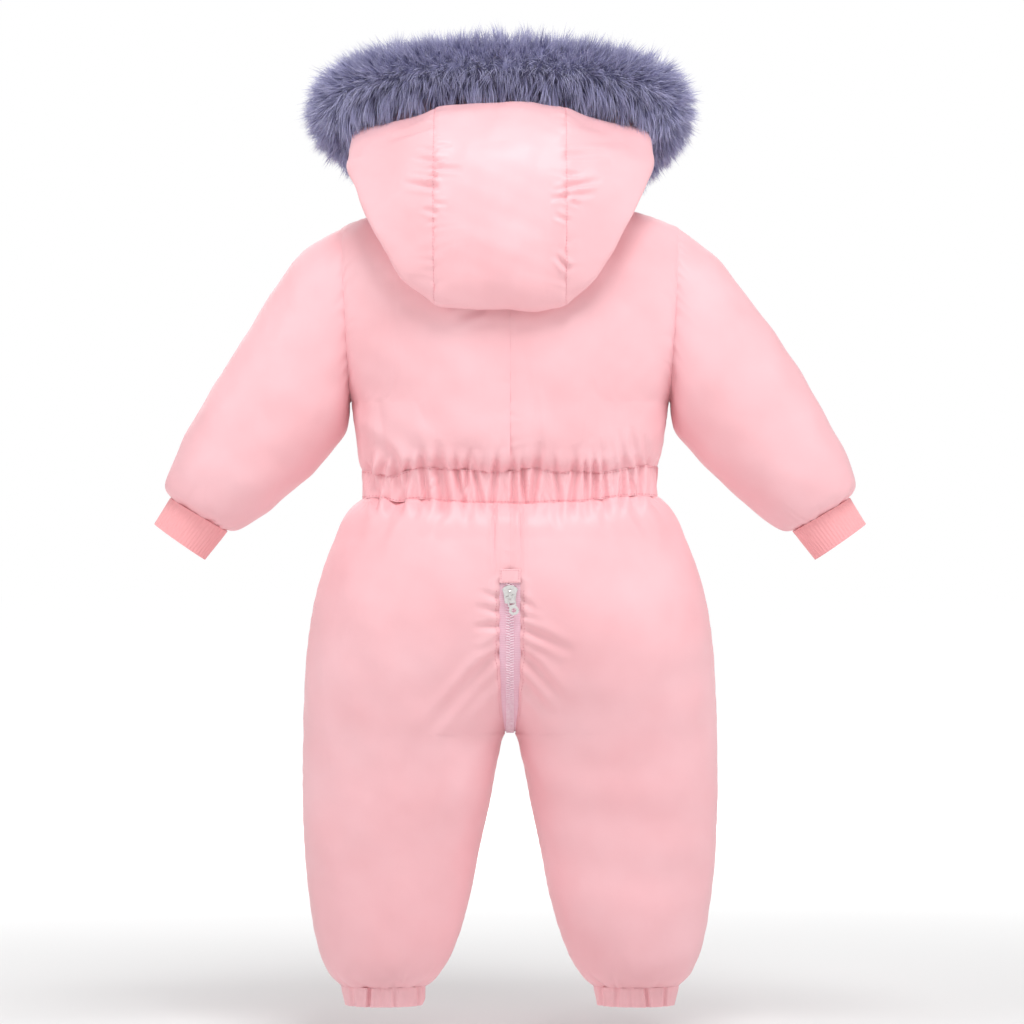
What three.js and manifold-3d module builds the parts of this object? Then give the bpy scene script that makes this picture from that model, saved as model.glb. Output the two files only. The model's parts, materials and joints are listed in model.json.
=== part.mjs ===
// A padded toddler snowsuit, filled out with no wearer: arms held away from the body, legs apart.
// Millimetres. +Z is up, the chest faces -Y, the back faces +Y and the wearer's left arm is at +X.
// The origin is the middle of the neck opening, at the height of the shoulders that hold the suit up.
import * as THREE from "three";
import Module from "manifold-3d";

const wasm = await Module();
wasm.setup();

// Driving sizes
const seamGap = 0.3; // clear space left between two sewn pieces
const padding = 6; // shell, filling and lining together
const ribThickness = 3; // knitted wrist cuffs
const bandThickness = 3.5; // elastic casings at waist and ankles
const waistTop = -225;
const waistBottom = -253;
const underarm = { x: 146, z: -164 };
const shoulderTip = { x: 155, z: -2, puff: 5 }; // puff: how far the shoulder seam bows up
const armholeDepth = { back: 52, front: 48 };
const shoulderRoll = -55; // height at which the body starts to turn over the shoulder
const neck = { half: 74, sideZ: 16, back: 48, backZ: -2, front: 52, frontZ: -48 };
const crotch = -467;
const ankleTop = -699;
const ankleBottom = -717;
const bodySquareness = 2.3; // exponent of the body's rounded cross-section

// Bodice sections: half width at the side seam, depth to the back and to the front
const bodiceSections = [
  { z: -225, side: 134, back: 64, front: 60 },
  { z: -218, side: 137, back: 71, front: 66 },
  { z: -205, side: 140, back: 76, front: 70 },
  { z: -164, side: 146, back: 81, front: 74 },
  { z: -110, side: 149, back: 84, front: 77 },
  { z: -55, side: 152, back: 79, front: 70 },
];

// Trouser sections: outer seam, inner seam (negative while the two lobes of the seat still merge),
// and depth to the back and to the front
const trouserSections = [
  { z: -253, outer: 137, inner: -111, back: 65, front: 61 },
  { z: -262, outer: 147, inner: -110, back: 77, front: 69 },
  { z: -290, outer: 162, inner: -98, back: 88, front: 75 },
  { z: -340, outer: 179, inner: -72, back: 93, front: 78 },
  { z: -390, outer: 187, inner: -46, back: 90, front: 78 },
  { z: -430, outer: 189.5, inner: -22, back: 82, front: 74 },
  { z: -455, outer: 190.5, inner: -4, back: 76, front: 70 },
  { z: -467, outer: 190.5, inner: 4.5, back: 72, front: 67 },
  { z: -490, outer: 191, inner: 11, back: 67, front: 63 },
  { z: -529, outer: 191, inner: 18, back: 63, front: 60 },
  { z: -575, outer: 189, inner: 28, back: 59, front: 57 },
  { z: -621, outer: 184.5, inner: 37.5, back: 54, front: 53 },
  { z: -660, outer: 178, inner: 49.5, back: 48, front: 47 },
  { z: -680, outer: 171.5, inner: 58.5, back: 43, front: 42 },
  { z: -692, outer: 164, inner: 67.5, back: 37, front: 36 },
  { z: -699, outer: 156, inner: 76, back: 29.5, front: 29.5 },
];

// Half width of the gap between the two seat panels, which the crotch zip fills
const seatGap = [
  { z: -253, half: 0.15 },
  { z: -312, half: 0.15 },
  { z: -317, half: 9.3 },
  { z: -400, half: 9.3 },
  { z: -440, half: 7.5 },
  { z: -467, half: 4.5 },
];
const frontGap = [
  { z: -253, half: 7.8 },
  { z: -388, half: 7.8 },
  { z: -393, half: 0.15 },
  { z: -440, half: 0.15 },
  { z: -455, half: 3 },
  { z: -467, half: 4.5 },
];

// Sleeve sections: top line, under line, half depth to back and front, and how far the arm has come forward
const sleeveSections = [
  { topX: 155, topZ: -2, underX: 146, underZ: -164, back: 52, front: 48, y: 0 },
  { topX: 190, topZ: -29, underX: 149, underZ: -178, back: 56, front: 52, y: 0 },
  { topX: 220, topZ: -68, underX: 155.5, underZ: -195, back: 56, front: 53, y: -1 },
  { topX: 253, topZ: -114, underX: 175, underZ: -218, back: 53, front: 51, y: -2 },
  { topX: 283, topZ: -161, underX: 198, underZ: -242, back: 49, front: 48, y: -3 },
  { topX: 303, topZ: -198, underX: 219, underZ: -261, back: 44, front: 44, y: -4 },
  { topX: 314, topZ: -224, underX: 236, underZ: -273.5, back: 38, front: 38, y: -5 },
  { topX: 318, topZ: -240, underX: 249, underZ: -281, back: 31, front: 31, y: -5.5 },
  { topX: 313, topZ: -251, underX: 260, underZ: -282, back: 21, front: 21, y: -6 },
];
const wristEnd = { topX: 328, topZ: -275, underX: 281, underZ: -308, depth: 19 };

// Hood hoops, from the face opening over the crown and round the bag to the nape: the middle of the centre
// panel, the widest place of the side panel, and the angle round the neck (0 front, 180 back) where it is sewn
const hoodHoops = [
  { topY: 6, topZ: 108, sideX: 137, sideY: -6, sideZ: 84, angle: 13 },
  { topY: 34, topZ: 109, sideX: 138, sideY: 14, sideZ: 72, angle: 44 },
  { topY: 66, topZ: 98, sideX: 138.5, sideY: 38, sideZ: 58, angle: 76 },
  { topY: 94, topZ: 74, sideX: 137, sideY: 60, sideZ: 44, angle: 96 },
  { topY: 112, topZ: 36, sideX: 130, sideY: 78, sideZ: 24, angle: 105 },
  { topY: 119, topZ: -6, sideX: 119, sideY: 90, sideZ: 0, angle: 112 },
  { topY: 115, topZ: -46, sideX: 105, sideY: 94, sideZ: -24, angle: 118 },
  { topY: 106, topZ: -72, sideX: 91, sideY: 93, sideZ: -45, angle: 123 },
  { topY: 95, topZ: -83, sideX: 79, sideY: 89, sideZ: -56, angle: 128 },
  { topY: 87, topZ: -72, sideX: 71, sideY: 85, sideZ: -52, angle: 132 },
  { topY: 83, topZ: -40, sideX: 63, sideY: 79, sideZ: -32, angle: 135.5 },
  { topY: 72.5, topZ: -10, sideX: 55, sideY: 64, sideZ: -9, angle: 138.5 },
  { topY: 48, topZ: -1.5, sideX: 43.9, sideY: 38.7, sideZ: 4.1, angle: 142 },
];
const hoodPanelHalf = 59; // half width of the centre panel
const hoodNapeHalf = 42; // and where it is sewn to the neck
const hoodCrown = 4; // how far the centre panel bulges between its seams
const hoodLean = 9; // the empty hood has slumped this far to the wearer's left

// Fur trim, from the front of the neck up one side to the middle of the top: share of the hood's edge,
// radius that the hair reaches, and the way from the hood's edge to the middle of the fur
const furRows = [
  { at: 0.93, radius: 20, x: 0.02, y: -0.82, z: 0.56 },
  { at: 0.85, radius: 25, x: 0.02, y: -0.93, z: 0.34 },
  { at: 0.72, radius: 30, x: 0.04, y: -0.97, z: 0.24 },
  { at: 0.58, radius: 34, x: 0.12, y: -0.96, z: 0.26 },
  { at: 0.44, radius: 38, x: 0.22, y: -0.86, z: 0.46 },
  { at: 0.3, radius: 40, x: 0.24, y: -0.68, z: 0.7 },
  { at: 0.15, radius: 40, x: 0.12, y: -0.52, z: 0.84 },
  { at: 0, radius: 39, x: 0.02, y: -0.5, z: 0.86 },
];
const furSides = 10;

// Gathers
const waistGathers = 28; // across the back waistband
const frontGathers = 9; // across each front half
const gatherHeight = 1.5;
const panelFolds = 7; // larger folds that run from the waistband into each panel
const panelFoldHeight = 2.4;
const panelFoldReach = 34;
const ankleGathers = 11;
const ribs = 28;
const ribHeight = 0.8;

// Zips
const tapeThickness = 1.6;
const coilHalf = 3;
const coilHeight = 1.6;
const tapeSink = 2.2; // how far the tape lies below the cloth beside it
const sliderPlate = { top: 7.2, bottom: 4.6, length: 16, thickness: 3 };
const bridge = { width: 2.2, length: 9, height: 4.6, wall: 1.3 };
const tab = { width: 9, length: 17, thickness: 1.5, window: 5, windowLength: 7.4, bar: 1.5, eye: 1.9, rest: -1.75 };
const seatSliderZ = -338;
const seatTabTilt = THREE.MathUtils.degToRad(16); // swung to the wearer's right in its own plane
const frontSliderZ = -72;
const endPatch = { half: 10.2, top: -311, bottom: -328, thickness: 1.2 };

const vector = (x, y, z) => new THREE.Vector3(x, y, z);
const mix = THREE.MathUtils.lerp;
const even = (n) => Array.from({ length: n + 1 }, (_, i) => i / n);
const mirrorX = (p) => vector(-p.x, p.y, p.z);

// A smooth curve through one column of a table, read by row number or by another column
function readIndex(rows, column, at) {
  const i = Math.min(Math.max(Math.floor(at), 0), rows.length - 2);
  const value = (k) => rows[k][column];
  const slope = (k) => {
    if (k === 0) return value(1) - value(0);
    if (k === rows.length - 1) return value(k) - value(k - 1);
    return (value(k + 1) - value(k - 1)) / 2;
  };
  const t = at - i;
  const a = value(i);
  const b = value(i + 1);
  return a + t * slope(i) + t * t * (3 * (b - a) - 2 * slope(i) - slope(i + 1))
    + t * t * t * (slope(i) + slope(i + 1) - 2 * (b - a));
}

function readHeight(rows, column, z) {
  let i = 0;
  while (i < rows.length - 2 && (rows[i + 1].z - z) * Math.sign(rows[1].z - rows[0].z) < 0) i += 1;
  const run = (k) => rows[k + 1].z - rows[k].z;
  const rise = (k) => (rows[k + 1][column] - rows[k][column]) / run(k);
  const slope = (k) => {
    if (k === 0) return rise(0);
    if (k === rows.length - 1) return rise(k - 1);
    return (rise(k - 1) * run(k) + rise(k) * run(k - 1)) / (run(k - 1) + run(k));
  };
  const t = Math.min(Math.max((z - rows[i].z) / run(i), 0), 1);
  const a = rows[i][column];
  const b = rows[i + 1][column];
  const m0 = slope(i) * run(i);
  const m1 = slope(i + 1) * run(i);
  return a + t * m0 + t * t * (3 * (b - a) - 2 * m0 - m1) + t * t * t * (m0 + m1 - 2 * (b - a));
}

// Straight steps between the rows of a gap table
function readGap(rows, z) {
  const next = rows.findIndex((row) => row.z <= z);
  if (next < 0) return rows[rows.length - 1].half;
  if (next === 0) return rows[0].half;
  const above = rows[next - 1];
  return mix(above.half, rows[next].half, (above.z - z) / (above.z - rows[next].z));
}

// A closed mesh from loose triangles, turned so that its faces point out
function closedMesh(points, triangles) {
  let volume = 0;
  const cross = vector(0, 0, 0);
  for (const [a, b, c] of triangles) volume += points[a].dot(cross.crossVectors(points[b], points[c]));
  const order = volume < 0 ? triangles.map(([a, b, c]) => [a, c, b]) : triangles;
  const geometry = new THREE.BufferGeometry();
  geometry.setAttribute("position", new THREE.Float32BufferAttribute(points.flatMap((p) => p.toArray()), 3));
  geometry.setIndex(order.flat());
  geometry.computeVertexNormals();
  return geometry;
}

// A wall of cloth: outer points on a grid with any gathers raised in them, and a plain inside that lies one
// thickness below. ring joins the last column to the first; lean may turn the way the thickness runs at an edge.
function clothWall({ columns, rows, at, heart, thickness = padding, raise = () => 0, lean = (u, v, n) => n, ring }) {
  const step = 1e-3;
  const wrap = (u) => (ring ? u : Math.min(Math.max(u, 0), 1));
  const normal = (u, v) => {
    const du = at(wrap(u + step), v).sub(at(wrap(u - step), v));
    const dv = at(u, Math.min(v + step, 1)).sub(at(u, Math.max(v - step, 0)));
    return du.cross(dv).normalize();
  };
  const facing = Math.sign(normal(0.5, 0.5).dot(at(0.5, 0.5).sub(heart)));
  const across = ring ? columns.slice(0, -1) : columns;
  const outer = [];
  const inner = [];
  for (const v of rows) {
    for (const u of across) {
      const p = at(u, v);
      const n = normal(u, v).multiplyScalar(facing);
      const way = lean(u, v, n).normalize();
      outer.push(p.clone().addScaledVector(way, raise(u, v)));
      inner.push(p.clone().addScaledVector(way, -thickness));
    }
  }
  const wide = across.length;
  const deep = outer.length;
  const triangles = [];
  const quad = (a, b, c, d) => triangles.push([a, b, c], [a, c, d]);
  for (let j = 0; j < rows.length - 1; j += 1) {
    for (let i = 0; i < (ring ? wide : wide - 1); i += 1) {
      const k = (i + 1) % wide;
      const [a, b, c, d] = [j * wide + i, j * wide + k, (j + 1) * wide + k, (j + 1) * wide + i];
      quad(a, b, c, d);
      quad(deep + d, deep + c, deep + b, deep + a);
    }
  }
  const last = (rows.length - 1) * wide;
  for (let i = 0; i < (ring ? wide : wide - 1); i += 1) {
    const k = (i + 1) % wide;
    quad(i, deep + i, deep + k, k);
    quad(last + i, last + k, deep + last + k, deep + last + i);
  }
  if (!ring) {
    for (let j = 0; j < rows.length - 1; j += 1) {
      const [a, b] = [j * wide, (j + 1) * wide];
      quad(b, deep + b, deep + a, a);
      const [c, d] = [a + wide - 1, b + wide - 1];
      quad(d, c, deep + c, deep + d);
    }
  }
  return closedMesh([...outer, ...inner], triangles);
}

// The same wall on the wearer's right
function mirrored(wall) {
  return {
    ...wall,
    at: (u, v) => mirrorX(wall.at(u, v)),
    heart: mirrorX(wall.heart),
    lean: (u, v, n) => mirrorX(wall.lean(u, v, mirrorX(n))),
  };
}

// A solid through closed outlines that all have the same number of points, with a fan at each end
function loft(outlines) {
  const n = outlines[0].length;
  const middle = (ring) => ring.reduce((sum, p) => sum.add(p), vector(0, 0, 0)).divideScalar(n);
  const points = [...outlines.flat(), middle(outlines[0]), middle(outlines[outlines.length - 1])];
  const triangles = [];
  for (let j = 0; j < outlines.length - 1; j += 1) {
    for (let i = 0; i < n; i += 1) {
      const k = (i + 1) % n;
      const [a, b, c, d] = [j * n + i, j * n + k, (j + 1) * n + k, (j + 1) * n + i];
      triangles.push([a, b, c], [a, c, d]);
    }
  }
  const last = (outlines.length - 1) * n;
  for (let i = 0; i < n; i += 1) {
    const k = (i + 1) % n;
    triangles.push([k, i, points.length - 2], [last + i, last + k, points.length - 1]);
  }
  return closedMesh(points, triangles);
}

// A rounded cross-section: how deep it is at one share of its half width
const roundedDepth = (share) => Math.max(1 - Math.abs(share) ** bodySquareness, 0) ** (1 / bodySquareness);

// The armhole, where bodice and sleeve meet, at one height
function armholeAt(z, depth) {
  const share = Math.min(Math.max((z - underarm.z) / (shoulderTip.z - underarm.z), 0), 1);
  return {
    x: mix(underarm.x, shoulderTip.x, share),
    y: depth * Math.sqrt(Math.max(1 - (2 * share - 1) ** 2, 0)),
  };
}

// Where bodice and hood are sewn together round the neck, 0 degrees at the front and 180 at the back
function neckline(degrees) {
  const turn = THREE.MathUtils.degToRad(degrees);
  const front = Math.cos(turn) > 0;
  const share = Math.abs(Math.cos(turn));
  return vector(
    neck.half * Math.sin(turn),
    front ? -neck.front * share : neck.back * share,
    mix(neck.sideZ, front ? neck.frontZ : neck.backZ, share ** 1.7),
  );
}

// The shoulder seam, from the side of the neck to the armhole
function shoulderSeam(x) {
  const share = Math.min((x - neck.half) / (shoulderTip.x - neck.half), 1);
  return vector(x, 0, mix(neck.sideZ, shoulderTip.z, share) + shoulderTip.puff * Math.sin(Math.PI * share));
}

// Bodice: one half of the back or front. u runs from the middle to the side seam and armhole, v from waist to
// shoulder. Above shoulderRoll each line turns over in a quarter of an ellipse to the neckline or shoulder seam.
const underarmRow = 0.36;
const rollRow = 0.7;
const neckColumn = neck.half / shoulderTip.x;

function bodiceHalf(face) {
  const sign = face === "back" ? 1 : -1;
  const depth = armholeDepth[face];
  const middleGap = face === "back" ? seamGap / 2 : readGap(frontGap, waistTop);
  const neckDegrees = (x) => THREE.MathUtils.radToDeg(Math.asin(Math.min(x / neck.half, 1)));
  const bodyPoint = (u, z) => {
    const below = z <= underarm.z;
    const edge = below ? { x: readHeight(bodiceSections, "side", z), y: 0 } : armholeAt(z, depth);
    const middle = readHeight(bodiceSections, face, z);
    const x = mix(middleGap, edge.x, u);
    const wide = edge.x / roundedDepth(edge.y / middle);
    return vector(x, sign * middle * roundedDepth(x / wide), z);
  };
  const topPoint = (u) => {
    const x = mix(middleGap, shoulderTip.x, u);
    if (x >= neck.half) return shoulderSeam(x);
    return neckline(face === "back" ? 180 - neckDegrees(x) : neckDegrees(x));
  };
  const at = (u, v) => {
    let p;
    if (v < rollRow) {
      const z = v < underarmRow
        ? mix(waistTop, underarm.z, v / underarmRow)
        : mix(underarm.z, shoulderRoll, (v - underarmRow) / (rollRow - underarmRow));
      p = bodyPoint(u, z);
    } else {
      const turn = ((v - rollRow) / (1 - rollRow)) * (Math.PI / 2);
      const low = bodyPoint(u, shoulderRoll);
      const top = topPoint(u);
      const edgeZ = mix(shoulderRoll, shoulderTip.z, Math.sin(turn));
      const edge = armholeAt(edgeZ, depth);
      const lowEdge = armholeAt(shoulderRoll, depth);
      p = vector(
        mix(low.x, top.x, 1 - Math.cos(turn)),
        mix(top.y, low.y, Math.cos(turn)) + sign * u ** 4 * (edge.y - lowEdge.y * Math.cos(turn)),
        mix(low.z, top.z, Math.sin(turn)),
      );
      p.x += u ** 4 * (edge.x - mix(lowEdge.x, shoulderTip.x, 1 - Math.cos(turn)));
    }
    p.y += (sign * seamGap) / 2;
    return p;
  };
  const lean = (u, v, n) => {
    if (u === 0) n.x = 0;
    if (v === 0) n.z = 0;
    if (v === 1 && u > neckColumn - 1e-6) n.y = 0;
    if (u === 1) n.x = Math.max(n.x, 0);
    if (u === 1 && v < underarmRow + 1e-6) n.y = 0;
    return n;
  };
  const columns = [
    ...even(6).map((u) => neckColumn * Math.sin((u * Math.PI) / 2)),
    ...even(8).slice(1).map((u) => mix(neckColumn, 1, u)),
  ];
  const rows = [0, 0.03, 0.1, 0.2, underarmRow, 0.47, 0.58, rollRow, 0.78, 0.86, 0.93, 1];
  const raise = (u, v) => {
    const fade = Math.max(1 - (v * (underarm.z - waistTop)) / underarmRow / panelFoldReach, 0);
    return -panelFoldHeight * fade * (0.5 - 0.5 * Math.cos(2 * Math.PI * panelFolds * u)) * Math.min(v / 0.03, 1);
  };
  return { columns, rows, at, raise, lean, heart: vector(0, 0, -120) };
}

// Waistband: an elastic casing, u from the wearer's left side round to the right (back) or to the zip (front)
function waistband(from, to, waves) {
  const at = (u, v) => {
    const turn = mix(from, to, u);
    const z = mix(waistTop - seamGap, waistBottom + seamGap, v);
    const back = Math.sin(turn) > 0;
    const half = mix(133.6, 135.6, v);
    const depth = back ? 63 : 59;
    const c = Math.cos(turn);
    const s = Math.sin(turn);
    const reach = (Math.abs(c) ** bodySquareness + Math.abs(s) ** bodySquareness) ** (-1 / bodySquareness);
    return vector(half * c * reach, depth * s * reach, z);
  };
  const columns = even(waves * 4);
  const raise = (u, v) => {
    if (u === 0 || u === 1) return 0;
    return gatherHeight * Math.sin(2 * Math.PI * waves * u + 0.9 * Math.sin(7 * u + 2.5 * v));
  };
  const lean = (u, v, n) => n.setZ(0);
  return { columns, rows: [0, 1], at, raise, lean, heart: vector(0, 0, -239), thickness: bandThickness };
}

// Trousers: one quarter. u runs from the outer seam to the middle seam, zip or inner seam, v from waist to ankle.
// Each height is part of an ellipse round the middle of its own leg, so two lobes merge above the crotch.
function trouserQuarter(face) {
  const sign = face === "back" ? 1 : -1;
  const gap = face === "back" ? seatGap : frontGap;
  const at = (u, v) => {
    const z = mix(waistBottom, ankleTop, v);
    const outer = readHeight(trouserSections, "outer", z);
    const inner = readHeight(trouserSections, "inner", z);
    const middle = (outer + inner) / 2;
    const half = (outer - inner) / 2;
    const edge = Math.max(z > crotch ? readGap(gap, z) : inner, inner);
    const last = Math.acos(Math.max((edge - middle) / half, -1));
    const turn = u * last;
    const depth = readHeight(trouserSections, face, z);
    return vector(middle + half * Math.cos(turn), sign * (depth * Math.sin(turn) + seamGap / 2), z);
  };
  const crotchRow = (waistBottom - crotch) / (waistBottom - ankleTop);
  const lean = (u, v, n) => {
    if (u === 1 && v < crotchRow) n.x = 0;
    if (u === 1 && v >= crotchRow) n.y = 0;
    if (u === 0) n.y = 0;
    if (v === 0 || v === 1) n.z = 0;
    return n;
  };
  const heights = [-253, -259, -270, -290, -312, -317, -345, -370, -388, -393, -415, -440, -455, -467, -490, -529,
    -575, -621, -660, -680, -692, -699];
  const raise = (u, v) => {
    const below = v * (waistBottom - ankleTop);
    const fade = Math.max(1 - below / panelFoldReach, 0) * Math.min(below / 6, 1);
    return -panelFoldHeight * fade * (0.5 - 0.5 * Math.cos(2 * Math.PI * panelFolds * u));
  };
  return {
    columns: even(12),
    rows: heights.map((z) => (waistBottom - z) / (waistBottom - ankleTop)),
    at, raise, lean,
    heart: vector(100, 0, -450),
  };
}

// A tube round an arm or ankle: u round it, 0 under the arm, 0.25 at the back, 0.5 on top
function armRing(section, u) {
  const turn = 2 * Math.PI * u;
  const depth = Math.sin(turn) > 0 ? section.back : section.front;
  return vector(
    mix(section.underX, section.topX, (1 - Math.cos(turn)) / 2),
    section.y + depth * Math.sin(turn),
    mix(section.underZ, section.topZ, (1 - Math.cos(turn)) / 2),
  );
}

const flattenTo = (n, section) => {
  const across = vector(section.topX - section.underX, 0, section.topZ - section.underZ).normalize();
  return across.multiplyScalar(n.dot(across)).add(vector(0, n.y, 0));
};

function sleeve() {
  const last = sleeveSections.length - 1;
  const sectionAt = (v) => Object.fromEntries(
    Object.keys(sleeveSections[0]).map((column) => [column, readIndex(sleeveSections, column, v * last)]),
  );
  return {
    ring: true,
    columns: even(20),
    rows: [0, 0.0625, 0.125, 0.25, 0.375, 0.5, 0.625, 0.75, 0.8125, 0.875, 0.94, 1],
    at: (u, v) => armRing(sectionAt(v), u).add(vector(seamGap, 0, 0)),
    lean: (u, v, n) => (v === 0 || v === 1 ? flattenTo(n, sectionAt(v)) : n),
    heart: vector(200, 0, -160),
  };
}

// Knitted wrist cuff, ribbed all round
function wristCuff() {
  const start = sleeveSections[sleeveSections.length - 1];
  const end = { ...wristEnd, back: wristEnd.depth, front: wristEnd.depth, y: start.y - 1 };
  const axis = vector(start.topZ - start.underZ, 0, -(start.topX - start.underX)).normalize().multiplyScalar(seamGap);
  const sectionAt = (v) => Object.fromEntries(Object.keys(end).map((column) => [column, mix(start[column] ?? 0, end[column], v)]));
  return {
    ring: true,
    columns: even(ribs * 2),
    rows: [0, 1],
    at: (u, v) => armRing(sectionAt(v), u).add(vector(seamGap, 0, 0)).add(axis),
    raise: (u) => (Math.round(u * ribs * 2) % 2 ? -ribHeight : 0),
    lean: (u, v, n) => flattenTo(n, sectionAt(v)),
    heart: vector(290, -6, -278),
    thickness: ribThickness,
  };
}

// Elastic ankle band, gathered in soft pleats
function ankleBand() {
  const hem = trouserSections[trouserSections.length - 1];
  const middle = (hem.outer + hem.inner) / 2;
  const half = (hem.outer - hem.inner) / 2;
  const at = (u, v) => {
    const turn = 2 * Math.PI * u;
    const shrink = mix(0, 2.5, v);
    return vector(
      middle + (half - shrink) * Math.cos(turn),
      (hem.back - shrink) * Math.sin(turn),
      mix(ankleTop - 1.5 * seamGap, ankleBottom, v),
    );
  };
  return {
    ring: true,
    columns: even(ankleGathers * 4),
    rows: [0, 1],
    at,
    raise: (u, v) => 1.1 * Math.sin(2 * Math.PI * ankleGathers * u + 1.1 * Math.sin(4 * Math.PI * u)) - 0.6,
    lean: (u, v, n) => n.setZ(0),
    heart: vector(middle, 0, -708),
    thickness: ribThickness,
  };
}

// Hood: hoops that start at the middle of the centre panel, pass over its seam, round the widest place of the
// side panel and in to the neck. The lean fades out where the hood is sewn down.
const lastHoop = hoodHoops.length - 1;
const hoodRows = even(20);
const hoodHeart = vector(0, 45, 20);

const hoodTop = (v) => vector(
  0,
  readIndex(hoodHoops, "topY", v * lastHoop),
  readIndex(hoodHoops, "topZ", v * lastHoop) + 3 * seamGap * v,
);

function hoodSeam(v) {
  const row = v * lastHoop;
  const top = hoodTop(v);
  const sewn = THREE.MathUtils.smoothstep(row, lastHoop - 3, lastHoop);
  const towards = hoodHeart.clone().sub(top).setX(0).normalize();
  const seam = top.clone().addScaledVector(towards, hoodCrown);
  const nape = neckline(180 - THREE.MathUtils.radToDeg(Math.asin(hoodNapeHalf / neck.half)));
  nape.z += 4 * seamGap;
  const p = vector(mix(hoodPanelHalf, hoodNapeHalf, sewn), mix(seam.y, nape.y, sewn ** 3), mix(seam.z, nape.z, sewn ** 3));
  return clearOfBody(p, 0, v);
}

// The way the thickness runs along the hood's two seams: square to the seam and upright across it
function hoodSeamLean(v, n) {
  const step = 0.5 / (hoodRows.length - 1);
  const along = hoodSeam(Math.min(v + step, 1)).sub(hoodSeam(Math.max(v - step, 0)));
  return n.set(0, -along.z, along.y);
}

// Moves a point of the hood out until it lies on the shoulders, chest and back, not in them
function clearOfBody(p, u, v) {
  const margin = (p.y < 0 ? 5 : 3.6) * Math.min(1, (1 - u) * 16, (1 - v) * 16);
  const sign = p.y < 0 ? -1 : 1;
  const face = p.y < 0 ? "front" : "back";
  const x = Math.min(Math.abs(p.x), shoulderTip.x - 3);
  const row = Math.min(p.z, shoulderRoll);
  const edge = armholeAt(Math.max(row, underarm.z), armholeDepth[face]);
  const middle = readHeight(bodiceSections, face, row);
  const low = middle * roundedDepth((x * roundedDepth(edge.y / middle)) / edge.x);
  const turn = THREE.MathUtils.radToDeg(Math.asin(Math.min(x / neck.half, 1)));
  const top = x < neck.half
    ? neckline(p.y < 0 ? turn : 180 - turn)
    : shoulderSeam(x);
  const run = low - Math.abs(top.y);
  const dy = (Math.abs(p.y) - Math.abs(top.y)) / run;
  const dz = (Math.max(p.z, shoulderRoll) - shoulderRoll) / (top.z - shoulderRoll);
  const reach = Math.hypot(dy, dz);
  const least = 1 + margin / run;
  if (reach >= least || reach < 0.2 || dy < 0) return p;
  const push = least / reach;
  return vector(
    p.x,
    top.y + (p.y - top.y) * push,
    p.z > shoulderRoll ? shoulderRoll + (p.z - shoulderRoll) * push : p.z,
  );
}

function hoodSide(u, v) {
  const row = v * lastHoop;
  const seam = hoodSeam(v);
  const side = vector(
    readIndex(hoodHoops, "sideX", row), readIndex(hoodHoops, "sideY", row), readIndex(hoodHoops, "sideZ", row),
  );
  const base = neckline(readIndex(hoodHoops, "angle", row)).add(vector(0, 0, 4 * seamGap));
  const reach = 4 / 3;
  const control = [seam, seam.clone().lerp(side, reach), base.clone().lerp(side, reach), base];
  const w = [(1 - u) ** 3, 3 * u * (1 - u) ** 2, 3 * u * u * (1 - u), u ** 3];
  const p = control.reduce((sum, q, i) => sum.addScaledVector(q, w[i]), vector(0, 0, 0));
  return clearOfBody(p, u, v);
}

function leaned(p, side, u, v) {
  const held = (1 - THREE.MathUtils.smoothstep(u, 0.5, 1)) * (1 - THREE.MathUtils.smoothstep(v, 0.7, 0.98));
  return vector(side * p.x + hoodLean * held, p.y, p.z);
}

function hoodSidePanel(side) {
  return {
    columns: [0, 0.1, 0.2, 0.3, 0.42, 0.54, 0.66, 0.77, 0.86, 0.93, 0.97, 1],
    rows: hoodRows,
    at: (u, v) => leaned(hoodSide(u, v).add(vector((1 - u) * (seamGap / 2), 0, 0)), side, u, v),
    lean: (u, v, n) => {
      if (v === 1) return n.set(0, 1, 0);
      if (u === 0) return hoodSeamLean(v, n);
      if (u < 1) return n;
      const base = neckline(readIndex(hoodHoops, "angle", v * lastHoop));
      return n.set(side * base.x * (1 - THREE.MathUtils.smoothstep(v, 0.7, 0.96)), 1.5 * base.y, 0);
    },
    heart: hoodHeart,
  };
}

function hoodCentrePanel() {
  return {
    columns: even(8),
    rows: hoodRows,
    at: (u, v) => {
      const across = 2 * u - 1;
      const seam = hoodSeam(v);
      const top = hoodTop(v);
      const p = vector((seam.x - seamGap / 2) * Math.abs(across), mix(top.y, seam.y, across ** 2), mix(top.z, seam.z, across ** 2));
      return leaned(clearOfBody(p, 0, v), Math.sign(across), 0, v);
    },
    lean: (u, v, n) => {
      if (v === 1) return n.set(0, 1, 0);
      if (u === 0 || u === 1) return hoodSeamLean(v, n);
      return n;
    },
    heart: hoodHeart,
  };
}

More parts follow.
